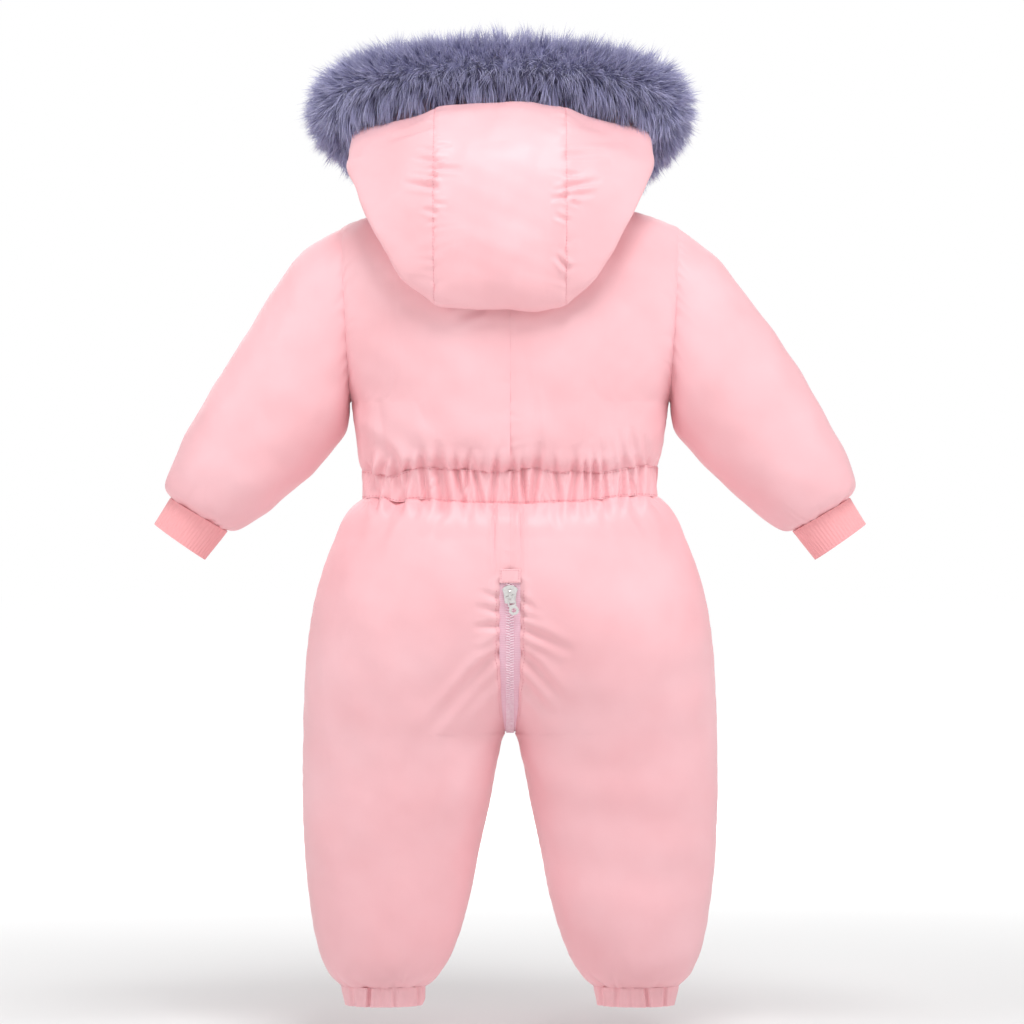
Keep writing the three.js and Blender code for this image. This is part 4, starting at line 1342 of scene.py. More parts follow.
def copies(points: Array, faces: Array, origins: Array, axes: Array) -> tuple[Array, Array]:
    """Many copies of a small shape as one set of arrays.

    Args:
        points: The shape's points.
        faces: Its faces, all with the same number of corners.
        origins: Where each copy stands.
        axes: Three rows for each copy: the directions of the shape's X, Y and Z.

    Returns:
        All points and all faces.
    """
    placed = origins[:, None, :] + np.einsum("kj,nji->nki", points, axes)
    shift = np.arange(len(origins))[:, None, None] * len(points)
    return placed.reshape(-1, 3), (faces[None] + shift).reshape(-1, faces.shape[1])


STITCH_POINTS = np.array([(-1, 0, 0), (0, -1, 0), (0, 0, 1), (0, 1, 0), (0, 0, -1), (1, 0, 0)], float)
STITCH_FACES = np.array(
    [(0, 2, 1), (0, 3, 2), (0, 4, 3), (0, 1, 4), (5, 1, 2), (5, 2, 3), (5, 3, 4), (5, 4, 1)]
)
TOOTH_POINTS = np.array(
    [(-1, -1, 0), (1, -1, 0), (1, 1, 0), (-1, 1, 0)]
    + [(-0.8, -0.6, 1), (0.85, -0.6, 0.9), (0.85, 0.6, 0.9), (-0.8, 0.6, 1)]
)
TOOTH_FACES = np.array(
    [(3, 2, 1, 0), (4, 5, 6, 7), (0, 1, 5, 4), (1, 2, 6, 5), (2, 3, 7, 6), (3, 0, 4, 7)]
)


@dataclass(frozen=True)
class Sewing:
    """Lines of machine stitches: each stitch a slender diamond half sunk in the cloth."""

    pitch: float = 3.2
    length: float = 2.3
    width: float = 0.62
    height: float = 0.42

    def along(self, line: Array, normals: Array) -> tuple[Array, Array]:
        """Stitches along a line: one every pitch of its length, turned along it.

        Args:
            line: Points of the cloth.
            normals: The way out of the cloth at each.

        Returns:
            Points and faces of all stitches.
        """
        arc = Grid.arc(line, 0)
        stops = np.arange(self.pitch, arc[-1] - self.pitch, self.pitch)
        origin = np.stack([np.interp(stops, arc, line[:, k]) for k in range(3)], axis=-1)
        ahead = np.stack([np.interp(stops + 1.0, arc, line[:, k]) for k in range(3)], axis=-1)
        out = unit(np.stack([np.interp(stops, arc, normals[:, k]) for k in range(3)], axis=-1))
        forward = unit(ahead - origin)
        side = unit(np.cross(out, forward))
        axes = np.stack([forward * self.length / 2, side * self.width / 2, out * self.height], axis=1)
        return copies(STITCH_POINTS, STITCH_FACES, origin + out * 0.05, axes)

    def sew(
        self, name: str, lines: Sequence[tuple[Array, Array]], finish: bpy.types.Material
    ) -> bpy.types.Object:
        """One piece that holds the stitches of several lines.

        Args:
            name: Name of the new piece.
            lines: Points and normals of each line.
            finish: The material.

        Returns:
            The piece.
        """
        points, faces, count = [], [], 0
        for line, normals in lines:
            p, f = self.along(line, normals)
            points.append(p)
            faces.append(f + count)
            count += len(p)
        faces_all = oriented(np.concatenate(points), [np.concatenate(faces)])
        return dress(put_mesh(name, np.concatenate(points), faces_all, [finish], sharp=80), Slot.SHELL)


@dataclass
class Bodice:
    """Back and front of the body, from the waistband to the shoulders.

    Each half has u from the middle to the side seam and armhole, and v from the waist to the shoulder. Above
    the roll each line turns over in a quarter of an ellipse to the neckline or the shoulder seam.
    """

    underarm_row: float = 0.36
    roll_row: float = 0.7
    columns: int = 121
    rows: int = 161

    def body_point(self, face: Face, u: Array, z: Array) -> Array:
        """Point below the roll: x is a share of the way to the edge, and y the rounded depth there.

        Args:
            face: Back or front.
            u: Share of the way across the piece.
            z: Heights.

        Returns:
            Points of the surface.
        """
        arm_x, arm_y = CUT.armhole(z, face)
        below = z <= CUT.underarm_z
        edge_x = np.where(below, BODICE_SECTIONS.read("side", z), arm_x)
        edge_y = np.where(below, 0.0, arm_y)
        middle = BODICE_SECTIONS.read(face.name.lower(), z)
        x = mix(self.middle_gap(face), edge_x, u)
        wide = edge_x / CUT.rounded(edge_y / middle)
        return xyz(x, face.value * middle * CUT.rounded(x / wide), z)

    @staticmethod
    def middle_gap(face: Face) -> float:
        """Half the gap in the middle: a seam at the back and the zip in front."""
        return CUT.seam_gap / 2 if face is Face.BACK else float(FRONT_GAP.step("half", CUT.waist_top))

    def at(self, face: Face, u: Array, v: Array) -> Array:
        """Surface of one half on the wearer's left.

        Args:
            face: Back or front.
            u: Share of the way across the piece.
            v: Share of the way along it.

        Returns:
            Points of the surface.
        """
        low_z = mix(CUT.waist_top, CUT.underarm_z, v / self.underarm_row)
        above = (v - self.underarm_row) / (self.roll_row - self.underarm_row)
        high_z = np.minimum(mix(CUT.underarm_z, CUT.roll_z, above), CUT.roll_z)
        upright = self.body_point(face, u, np.where(v < self.underarm_row, low_z, high_z))
        turn = np.clip((v - self.roll_row) / (1 - self.roll_row), 0, 1) * np.pi / 2
        low = self.body_point(face, u, np.full_like(u, CUT.roll_z))
        top = CUT.top_line(mix(self.middle_gap(face), CUT.tip_x, u), face)
        edge_x, edge_y = CUT.armhole(mix(CUT.roll_z, CUT.tip_z, np.sin(turn)), face)
        low_x, low_y = CUT.armhole(np.full_like(u, CUT.roll_z), face)
        rolled = xyz(
            mix(low[..., 0], top[..., 0], 1 - np.cos(turn))
            + u**4 * (edge_x - mix(low_x, CUT.tip_x, 1 - np.cos(turn))),
            mix(top[..., 1], low[..., 1], np.cos(turn))
            + face.value * u**4 * (edge_y - low_y * np.cos(turn)),
            mix(low[..., 2], top[..., 2], np.sin(turn)),
        )
        points = np.where((v < self.roll_row)[..., None], upright, rolled)
        points[..., 1] += face.value * CUT.seam_gap / 2
        return points

    def lean(self, u: Array, v: Array, n: Array) -> Array:
        """Way of the thickness: the normal, kept square to each seam so that neighbours don't cross.

        Args:
            u: Share of the way across the piece.
            v: Share of the way along it.
            n: Normals of the surface.

        Returns:
            Directions of the thickness.
        """
        neck_column = CUT.neck_half / CUT.tip_x
        n[..., 0] = np.where(u == 0, 0, n[..., 0])
        n[..., 2] = np.where(v == 0, 0, n[..., 2])
        n[..., 1] = np.where((v == 1) & (u > neck_column - 1e-6), 0, n[..., 1])
        at_side = (u == 1) & (v < self.underarm_row + 1e-6)
        n[..., 0] = np.where((u == 1) & ~at_side, 0, n[..., 0])
        n[..., 1] = np.where(at_side, 0, n[..., 1])
        return n

    @staticmethod
    def settle(points: Array, v: Array) -> Array:
        """The waist seam strays up and down, which dies out above it."""
        return points + xyz(0.0, 0.0, waist_shift("top", points) * (1 - ease(v, 0, 0.22)))

    def reliefs(self, face: Face, seed: int) -> list[Relief]:
        """Pulled seams, waist gathers, armhole puckers, creases and soft unevenness.

        Args:
            face: Back or front.
            seed: Start of the random numbers.

        Returns:
            Reliefs to be added up.
        """
        creases = BACK_CREASES if face is Face.BACK else FRONT_CREASES
        return [
            Pull((Edge.LEFT, Edge.RIGHT, Edge.HIGH), 0.8, 2.6),
            Pull((Edge.LOW,), 0.4, 3.5),
            Gathers(Edge.LOW, 12, 1.6, 15, seed),
            Gathers(Edge.LOW, 31, 3.0, 38, seed + 1, slant=0.5),
            Gathers(Edge.RIGHT, 15, 1.0, 9, seed + 2),
            Gathers(Edge.LEFT, 17, 0.7, 6, seed + 3),
            Gathers(Edge.HIGH, 15, 0.7, 8, seed + 4),
            Creases(WAIST_FOLDS, 0.7, True, 3.4, face is Face.FRONT, strength=1.4),
            Creases(creases, 0.6),
            Slack(seed + 5),
        ]

    def build(self, wardrobe: Wardrobe) -> dict[str, Panel]:
        """Makes the four panels.

        Args:
            wardrobe: The finishes.

        Returns:
            The panels.
        """
        even = np.linspace(0, 1, self.columns)
        columns = snapped(mix(even, np.sin(even * np.pi / 2), 0.85), CUT.neck_half / CUT.tip_x)
        rows = snapped(np.linspace(0, 1, self.rows), self.underarm_row, self.roll_row)
        made = {}
        for face in Face:
            name = f"bodice_{face.name.lower()}"
            seed = 100 if face is Face.BACK else 150
            left = Panel(
                f"{name}_left_cloth",
                lambda u, v, face=face: self.at(face, u, v),
                columns,
                rows,
                np.array([0.0, 0.0, -120.0]),
                self.reliefs(face, seed),
                self.lean,
                settle=self.settle,
            )
            right = left.mirrored(f"{name}_right_cloth", self.reliefs(face, seed + 20))
            for panel, side in ((left, "left"), (right, "right")):
                piece = dress(panel.build(wardrobe.cloth), Slot.SHELL, f"{name}_{side}")
                made[f"{name}_{side}"] = panel
        return made


@dataclass
class Waistband:
    """Elastic casing in one back piece and two front ones, gathered all round."""

    half_top: float = 133.6
    half_bottom: float = 135.6
    back_depth: float = 63.0
    front_depth: float = 59.0
    heart: tuple[float, float, float] = (0.0, 0.0, -239.0)

    def at(self, start: float, end: float, u: Array, v: Array) -> Array:
        """Surface: a rounded ring of constant depth, from one turn to another.

        Args:
            start: Turn where it starts.
            end: Turn where it ends.
            u: Share of the way across the piece.
            v: Share of the way along it.

        Returns:
            Points of the surface.
        """
        turn = mix(start, end, u)
        c, s = np.cos(turn), np.sin(turn)
        reach = (np.abs(c) ** CUT.squareness + np.abs(s) ** CUT.squareness) ** (-1 / CUT.squareness)
        half = mix(self.half_top, self.half_bottom, v)
        depth = np.where(s > 0, self.back_depth, self.front_depth)
        z = mix(CUT.waist_top - CUT.seam_gap, CUT.waist_bottom + CUT.seam_gap, v)
        return xyz(half * c * reach, depth * s * reach, z)

    @staticmethod
    def lean(u: Array, v: Array, n: Array) -> Array:
        """Way of the thickness: level."""
        n[..., 2] = 0
        return n

    @staticmethod
    def settle(points: Array, v: Array) -> Array:
        """Both seams stray up and down, each by its own column of the table."""
        return points + xyz(0.0, 0.0, mix(waist_shift("top", points), waist_shift("bottom", points), v))

    def panel(self, name: str, start: float, end: float, columns: int, reliefs: Sequence[Relief]) -> Panel:
        """One length of the casing.

        Args:
            name: Name of the new piece.
            start: Turn where it starts.
            end: Turn where it ends.
            columns: Number of grid lines across.
            reliefs: Its own reliefs.

        Returns:
            The panel.
        """
        return Panel(
            name,
            lambda u, v: self.at(start, end, u, v),
            np.linspace(0, 1, columns),
            np.linspace(0, 1, 17),
            np.array(self.heart),
            reliefs,
            self.lean,
            CUT.band_thickness,
            settle=self.settle,
        )

    def build(self, wardrobe: Wardrobe) -> list[Panel]:
        """Makes the three casings.

        Args:
            wardrobe: The finishes.

        Returns:
            The panels.
        """
        small = [Gathers(Edge.LOW, 8, 1.1, 22, 11, slant=0.6), Gathers(Edge.HIGH, 7, 1.0, 20, 12, slant=0.6)]
        ends = Pull((Edge.LOW, Edge.HIGH), 0.25, 2.2)
        folds = Creases(WAIST_FOLDS, 0.75, True, flip=True, strength=1.7)
        gap = FRONT_GAP.step("half", CUT.waist_top) / 133
        behind = [replace(folds, flip=False), *small, ends]
        back = self.panel("waistband_back_casing", 0.002, math.pi - 0.002, 561, behind)
        front = [folds, *small, ends]
        left = self.panel("waistband_front_left_casing", -0.002, -math.pi / 2 + gap, 241, front)
        right = left.mirrored("waistband_front_right_casing", front)
        for panel, nodes, flat in (
            (back, "waistband_back", (0.42, 0.03)),
            (left, "waistband_front_left", (0.19, 0.03)),
            (right, "waistband_front_right", (0.19, 0.03)),
        ):
            piece = dress(panel.build(wardrobe.cloth), Slot.SHELL, nodes)
        return [back, left, right]


@dataclass
class Trousers:
    """Seat and legs in four panels.

    u runs from the outer seam to the middle, and v from waist to ankle. Each height is part of an ellipse
    round the middle of its own leg, so that two lobes meet above the crotch.
    """

    columns: int = 121
    rows: int = 193

    def at(self, face: Face, u: Array, v: Array) -> Array:
        """Surface of one quarter on the wearer's left.

        Args:
            face: Back or front.
            u: Share of the way across the piece.
            v: Share of the way along it.

        Returns:
            Points of the surface.
        """
        z = mix(CUT.waist_bottom, CUT.ankle_top, v)
        outer, inner = TROUSER_SECTIONS.read("outer", z), TROUSER_SECTIONS.read("inner", z)
        middle, half = (outer + inner) / 2, (outer - inner) / 2
        gap = SEAT_GAP if face is Face.BACK else FRONT_GAP
        edge = np.maximum(np.where(z > CUT.crotch, gap.step("half", z), inner), inner)
        turn = u * np.arccos(np.clip((edge - middle) / half, -1, 1))
        depth = TROUSER_SECTIONS.read(face.name.lower(), z)
        return xyz(middle + half * np.cos(turn), face.value * (depth * np.sin(turn) + CUT.seam_gap / 2), z)

    @staticmethod
    def lean(u: Array, v: Array, n: Array) -> Array:
        """Way of the thickness: the normal, kept square to each seam.

        Args:
            u: Share of the way across the piece.
            v: Share of the way along it.
            n: Normals of the surface.

        Returns:
            Directions of the thickness.
        """
        crotch_row = (CUT.waist_bottom - CUT.crotch) / (CUT.waist_bottom - CUT.ankle_top)
        n[..., 0] = np.where((u == 1) & (v < crotch_row), 0, n[..., 0])
        n[..., 1] = np.where((u == 1) & (v >= crotch_row), 0, n[..., 1])
        n[..., 1] = np.where(u == 0, 0, n[..., 1])
        n[..., 2] = np.where((v == 0) | (v == 1), 0, n[..., 2])
        return n

    @staticmethod
    def settle(points: Array, v: Array) -> Array:
        """The waist seam strays up and down, which dies out below it."""
        return points + xyz(0.0, 0.0, waist_shift("bottom", points) * (1 - ease(v, 0, 0.09)))

    @staticmethod
    def reliefs(face: Face, seed: int) -> list[Relief]:
        """Waist and ankle gathers, puckered seams, creases, and lips beside the zip.

        Args:
            face: Back or front.
            seed: Start of the random numbers.

        Returns:
            Reliefs to be added up.
        """
        back = face is Face.BACK
        return [
            Pull((Edge.LEFT,), 1.0, 2.8),
            Pull((Edge.LOW, Edge.HIGH), 0.4, 3.5),
            Lip(Edge.RIGHT, 0, 2.8, -1.0, -320 if back else -200, -720),
            Lip(Edge.RIGHT, 5.5, 3.5, 1.0, -322 if back else -262, -440 if back else -380),
            Gathers(Edge.LOW, 12, 1.2, 12, seed),
            Gathers(Edge.LOW, 30, 2.0, 26, seed + 1, slant=0.5),
            Gathers(Edge.HIGH, 12, 2.0, 12, seed + 2),
            Gathers(Edge.HIGH, 29, 1.8, 26, seed + 3),
            Gathers(Edge.LEFT, 21, 0.7, 8, seed + 4),
            Gathers(Edge.RIGHT, 14, 0.6, 9, seed + 5),
            Creases(WAIST_FOLDS, 0.7, True, 2.6, not back, strength=1.4),
            Creases(SEAT_CREASES if back else FRONT_CREASES, 0.7, strength=1.35),
            Slack(seed + 6, ((150.0, 1.7), (58.0, 0.6), (24.0, 0.15))),
        ]

    def build(self, wardrobe: Wardrobe) -> dict[str, Panel]:
        """Makes the four panels.

        Args:
            wardrobe: The finishes.

        Returns:
            The panels.
        """
        height = CUT.waist_bottom - CUT.ankle_top
        marks = [(CUT.waist_bottom - z) / height for z in (-316, -326.5, -388, -393, CUT.crotch)]
        even = np.linspace(0, 1, self.rows)
        rows = snapped(even, *marks)
        made = {}
        for face in Face:
            name = f"trouser_{face.name.lower()}"
            seed = 200 if face is Face.BACK else 250
            left = Panel(
                f"{name}_left_cloth",
                lambda u, v, face=face: self.at(face, u, v),
                np.linspace(0, 1, self.columns),
                rows,
                np.array([100.0, 0.0, -450.0]),
                self.reliefs(face, seed),
                self.lean,
                settle=self.settle,
            )
            right = left.mirrored(f"{name}_right_cloth", self.reliefs(face, seed + 20))
            for panel, side in ((left, "left"), (right, "right")):
                piece = dress(panel.build(wardrobe.cloth), Slot.SHELL, f"{name}_{side}")
                made[f"{name}_{side}"] = panel
        return made


def arm_ring(table: Table, row: Array, u: Array) -> Array:
    """Tube round the arm: an ellipse between the top and under lines, 0 under the arm, a quarter behind.

    Args:
        table: Sections of the tube.
        row: Row of the table, with fractions between rows.
        u: Share of the way across the piece.

    Returns:
        Points of the tube.
    """
    turn = 2 * np.pi * u
    share = (1 - np.cos(turn)) / 2
    depth = np.where(np.sin(turn) > 0, table.read("back", row), table.read("front", row))
    return xyz(
        mix(table.read("under_x", row), table.read("top_x", row), share) + CUT.seam_gap,
        table.read("y", row) + depth * np.sin(turn),
        mix(table.read("under_z", row), table.read("top_z", row), share),
    )


def arm_lean(table: Table, row: Array, n: Array) -> Array:
    """Way of the thickness at the end of an arm tube: the normal laid into the plane of the section.

    Args:
        table: Sections of the tube.
        row: Row of the table, with fractions between rows.
        n: Normals of the surface.

    Returns:
        Directions of the thickness.
    """
    across = unit(xyz(
        table.read("top_x", row) - table.read("under_x", row),
        0.0,
        table.read("top_z", row) - table.read("under_z", row),
    ))
    flat = across * np.sum(n * across, axis=-1, keepdims=True)
    flat[..., 1] += n[..., 1]
    return flat


@dataclass
class Arms:
    """Padded sleeves and the knitted cuffs at their ends."""

    around: int = 177
    long: int = 121
    ribs: int = 46
    rib_height: float = 0.35

    def sleeve_at(self, u: Array, v: Array) -> Array:
        """Surface of the sleeve: the arm's ring at each row of its table."""
        return arm_ring(SLEEVE_SECTIONS, v * (len(SLEEVE_SECTIONS.keys) - 1), u)

    def sleeve_lean(self, u: Array, v: Array, n: Array) -> Array:
        """The normal, laid into the section at both ends."""
        end = ((v == 0) | (v == 1))[..., None]
        return np.where(end, arm_lean(SLEEVE_SECTIONS, v * (len(SLEEVE_SECTIONS.keys) - 1), n), n)

    def cuff_at(self, u: Array, v: Array) -> Array:
        """Surface of the cuff: straight from its first section to its last, one seam gap further out.

        Args:
            u: Share of the way across the piece.
            v: Share of the way along it.

        Returns:
            Points of the surface.
        """
        first = SLEEVE_SECTIONS.values[-1]
        axis = unit(np.array([first[1] - first[3], 0.0, first[2] - first[0]]))
        return arm_ring(CUFF_SECTIONS, v, u) + axis * CUT.seam_gap

    @staticmethod
    def sleeve_reliefs(seed: int) -> list[Relief]:
        """Pulled and puckered ends over soft unevenness.

        Args:
            seed: Start of the random numbers.

        Returns:
            Reliefs to be added up.
        """
        return [
            Pull((Edge.LOW,), 1.6, 7),
            Pull((Edge.HIGH,), 1.4, 3.4),
            Gathers(Edge.LOW, 17, 1.1, 11, seed),
            Gathers(Edge.HIGH, 11, 1.7, 12, seed + 1),
            Gathers(Edge.HIGH, 24, 1.6, 26, seed + 2, slant=0.4),
            Slack(seed + 3, ((130.0, 1.5), (50.0, 0.6), (22.0, 0.15))),
        ]

    def build(self, wardrobe: Wardrobe) -> list[Panel]:
        """Makes both sleeves and both cuffs.

        Args:
            wardrobe: The finishes.

        Returns:
            The panels.
        """
        sleeve = Panel(
            "sleeve_left_cloth", self.sleeve_at, np.linspace(0, 1, self.around), np.linspace(0, 1, self.long),
            np.array([200.0, 0.0, -160.0]), self.sleeve_reliefs(300), self.sleeve_lean, ring=True,
        )
        ribs = Ribs(self.ribs, self.rib_height)
        cuff = Panel(
            "wrist_cuff_left_knit", self.cuff_at, np.linspace(0, 1, self.ribs * 8 + 1), np.linspace(0, 1, 17),
            np.array([290.0, -6.0, -278.0]), [ribs, Gathers(Edge.LOW, 14, 0.7, 9, 310)],
            lambda u, v, n: arm_lean(CUFF_SECTIONS, v, n), CUT.rib_thickness, ring=True,
        )
        for side, tube, end in (
            ("left", sleeve, cuff),
            (
                "right",
                sleeve.mirrored("sleeve_right_cloth", self.sleeve_reliefs(330)),
                cuff.mirrored("wrist_cuff_right_knit", [ribs, Gathers(Edge.LOW, 14, 0.7, 9, 340)]),
            ),
        ):
            piece = dress(tube.build(wardrobe.cloth), Slot.SHELL, f"sleeve_{side}")
            knit = dress(end.build((wardrobe.knit, wardrobe.knit)), Slot.KNIT, f"wrist_cuff_{side}")
        return [sleeve]


@dataclass
class AnkleBands:
    """Elastic casings at the ankles, gathered in soft pleats."""

    taper: float = 4.5
    columns: int = 353

    def at(self, u: Array, v: Array) -> Array:
        """Surface: an ellipse as wide as the trouser hem that narrows a little.

        Args:
            u: Share of the way across the piece.
            v: Share of the way along it.

        Returns:
            Points of the surface.
        """
        hem = dict(zip(TROUSER_SECTIONS.names, TROUSER_SECTIONS.values[-1]))
        middle, half = (hem["outer"] + hem["inner"]) / 2, (hem["outer"] - hem["inner"]) / 2
        turn = 2 * np.pi * u
        return xyz(
            middle + (half - self.taper * v) * np.cos(turn),
            (hem["back"] - self.taper * v) * np.sin(turn),
            mix(CUT.ankle_top - 1.5 * CUT.seam_gap, CUT.ankle_bottom, v),
        )

    @staticmethod
    def reliefs(seed: int) -> list[Relief]:
        """Pleats through the whole height, and drawn-in edges.

        Args:
            seed: Start of the random numbers.

        Returns:
            Reliefs to be added up.
        """
        return [
            Creases(ANKLE_PLEATS, 0.5, True),
            Gathers(Edge.HIGH, 9, 0.6, 14, seed),
            Pull((Edge.LOW,), 0.7, 2.0),
        ]

    def build(self, wardrobe: Wardrobe) -> None:
        """Makes both bands.

        Args:
            wardrobe: The finishes.
        """
        left = Panel(
            "ankle_band_left_casing", self.at, np.linspace(0, 1, self.columns), np.linspace(0, 1, 13),
            np.array([116.0, 0.0, -708.0]), self.reliefs(400), Waistband.lean, CUT.band_thickness, ring=True,
        )
        right = left.mirrored("ankle_band_right_casing", self.reliefs(420))
        for panel, side in ((left, "left"), (right, "right")):
            piece = dress(panel.build(wardrobe.cloth), Slot.SHELL, f"ankle_band_{side}")


@dataclass
class Hood:
    """Padded three-panel hood that hangs open at the back.

    A hoop starts at the middle of the centre panel, passes over its seam, round the widest place of the side
    panel and in to the neck, where it is sewn. v runs from the face opening to the nape.
    """

    panel_half: float = 59.0
    nape_half: float = 42.0
    crown: float = 4.0
    slump: float = 9.0
    heart: tuple[float, float, float] = (0.0, 45.0, 20.0)
    rows: int = 297

    def __post_init__(self) -> None:
        """Keeps the number of the last hoop."""
        self.last = len(HOOD_HOOPS.keys) - 1

    def top(self, v: Array) -> Array:
        """Middle line of the centre panel."""
        row = v * self.last
        return xyz(0.0, HOOD_HOOPS.read("top_y", row), HOOD_HOOPS.read("top_z", row) + 3 * CUT.seam_gap * v)

    def seam(self, v: Array) -> Array:
        """Seam between centre and side: below the middle line by the crown, and eased to the nape.

        Args:
            v: Share of the way along it.

        Returns:
            Points of the seam.
        """
        row, top = v * self.last, self.top(v)
        sewn = ease(row, self.last - 3, self.last)
        towards = np.array(self.heart) - top
        towards[..., 0] = 0
        side = top + unit(towards) * self.crown
        nape = CUT.neckline(180 - math.degrees(math.asin(self.nape_half / CUT.neck_half)))
        nape[..., 2] += 4 * CUT.seam_gap
        point = xyz(
            mix(self.panel_half, self.nape_half, sewn),
            mix(side[..., 1], nape[..., 1], sewn**3),
            mix(side[..., 2], nape[..., 2], sewn**3),
        )
        return self.clear(point, np.zeros_like(v), v)

    def clear(self, p: Array, u: Array, v: Array) -> Array:
        """Points moved out until they lie on the shoulders, chest and back.

        Across the roll the body is an ellipse. A point inside it, grown by a margin, is pushed out along the
        line from the ellipse's middle.

        Args:
            p: Points.
            u: Share of the way across the piece.
            v: Share of the way along it.

        Returns:
            The moved points.
        """
        front = p[..., 1] < 0
        sign = np.where(front, -1.0, 1.0)
        margin = np.where(front, 5.0, 3.6) * np.minimum(1, np.minimum((1 - u) * 16, (1 - v) * 16))
        x = np.minimum(np.abs(p[..., 0]), CUT.tip_x - 3)
        row = np.minimum(p[..., 2], CUT.roll_z)
        low, top = [], []
        for face in Face:
            edge_x, edge_y = CUT.armhole(np.maximum(row, CUT.underarm_z), face)
            middle = BODICE_SECTIONS.read(face.name.lower(), row)
            low.append(middle * CUT.rounded(x * CUT.rounded(edge_y / middle) / edge_x))
            top.append(CUT.top_line(x, face))
        low_y = np.where(front, low[1], low[0])
        seam = np.where(front[..., None], top[1], top[0])
        run = low_y - np.abs(seam[..., 1])
        dy = (np.abs(p[..., 1]) - np.abs(seam[..., 1])) / run
        dz = (np.maximum(p[..., 2], CUT.roll_z) - CUT.roll_z) / (seam[..., 2] - CUT.roll_z)
        reach, least = np.hypot(dy, dz), 1 + margin / run
        push = np.where((reach >= least) | (reach < 0.2) | (dy < 0), 1.0, least / np.maximum(reach, 0.2))
        moved_y = seam[..., 1] + sign * (np.abs(p[..., 1]) - np.abs(seam[..., 1])) * push
        moved_z = CUT.roll_z + (p[..., 2] - CUT.roll_z) * push
        y = np.where(push > 1, moved_y, p[..., 1])
        z = np.where((push > 1) & (p[..., 2] > CUT.roll_z), moved_z, p[..., 2])
        return xyz(p[..., 0], y, z)

    def side(self, u: Array, v: Array) -> Array:
        """Side panel: a cubic curve from seam to neck whose control points lie beyond the widest place.

        Args:
            u: Share of the way across the piece.
            v: Share of the way along it.

        Returns:
            Points of the surface.
        """
        row, seam = v * self.last, self.seam(v)
        wide = xyz(*(HOOD_HOOPS.read(name, row) for name in ("side_x", "side_y", "side_z")))
        base = CUT.neckline(HOOD_HOOPS.read("angle", row))
        base[..., 2] += 4 * CUT.seam_gap
        u1 = u[..., None]
        points = (
            (1 - u1) ** 3 * seam
            + 3 * u1 * (1 - u1) ** 2 * mix(seam, wide, 4 / 3)
            + 3 * u1**2 * (1 - u1) * mix(base, wide, 4 / 3)
            + u1**3 * base
        )
        return self.clear(points, u, v)

    def leaned(self, p: Array, sign: Array | float, u: Array, v: Array) -> Array:
        """The empty hood's slump to the wearer's left, which dies out where it is sewn down."""
        held = (1 - ease(u, 0.5, 1)) * (1 - ease(v, 0.7, 0.98))
        return xyz(sign * p[..., 0] + self.slump * held, p[..., 1], p[..., 2])

    def side_panel(self, sign: float, u: Array, v: Array) -> Array:
        """Side panel on one side of the wearer.

        Args:
            sign: 1 on the wearer's left and -1 on the right.
            u: Share of the way across the piece.
            v: Share of the way along it.

        Returns:
            Points of the surface.
        """
        p = self.side(u, v)
        p[..., 0] += (1 - u) * CUT.seam_gap / 2
        return self.leaned(p, sign, u, v)

    def centre_panel(self, u: Array, v: Array) -> Array:
        """Centre panel: a low parabola across, between its two seams.

        Args:
            u: Share of the way across the piece.
            v: Share of the way along it.

        Returns:
            Points of the surface.
        """
        across = 2 * u - 1
        seam, top = self.seam(v), self.top(v)
        p = xyz(
            (seam[..., 0] - CUT.seam_gap / 2) * np.abs(across),
            mix(top[..., 1], seam[..., 1], across**2),
            mix(top[..., 2], seam[..., 2], across**2),
        )
        return self.leaned(self.clear(p, 0 * u, v), np.where(across < 0, -1.0, 1.0), 0 * u, v)

    def seam_lean(self, v: Array) -> Array:
        """Way of the thickness along the seams: square to the seam and upright across it.

        Args:
            v: Share of the way along it.

        Returns:
            Directions of the thickness.
        """
        step = 0.5 / 20
        along = self.seam(np.minimum(v + step, 1)) - self.seam(np.maximum(v - step, 0))
        return xyz(0.0, -along[..., 2], along[..., 1])

    def side_lean(self, sign: float, u: Array, v: Array, n: Array) -> Array:
        """Way of the thickness of a side panel at its seam, at the neck and at the nape.

        Args:
            sign: 1 on the wearer's left and -1 on the right.
            u: Share of the way across the piece.
            v: Share of the way along it.
            n: Normals of the surface.

        Returns:
            Directions of the thickness.
        """
        base = CUT.neckline(HOOD_HOOPS.read("angle", v * self.last))
        neck = xyz(sign * base[..., 0] * (1 - ease(v, 0.7, 0.96)), 1.5 * base[..., 1], 0.0)
        n = np.where((u == 1)[..., None], neck, n)
        return self.end_lean(u == 0, v, n)

    def end_lean(self, at_seam: Array, v: Array, n: Array) -> Array:
        """Lean at the hood's seams, and level at the nape."""
        n = np.where(at_seam[..., None], self.seam_lean(v), n)
        return np.where((v == 1)[..., None], np.array([0.0, 1.0, 0.0]), n)

    @staticmethod
    def reliefs(edges: tuple[Edge, ...], seed: int) -> list[Relief]:
        """Puckers along the panel seams over the puff of the filling.

        Args:
            edges: Edges that are sewn.
            seed: Start of the random numbers.

        Returns:
            Reliefs to be added up.
        """
        puckers = [Gathers(edge, 13, 0.9, 8, seed + i) for i, edge in enumerate(edges)]
        long = [Gathers(edge, 41, 1.3, 22, seed + 3 + i) for i, edge in enumerate(edges)]
        return [
            Creases(HOOD_CREASES, 0.6),
            Pull(edges, 1.1, 2.4),
            Pull((Edge.LOW,), 1.2, 8),
            *puckers,
            *long,
            Slack(seed + 6, ((90.0, 1.4), (42.0, 0.6), (20.0, 0.16))),
        ]

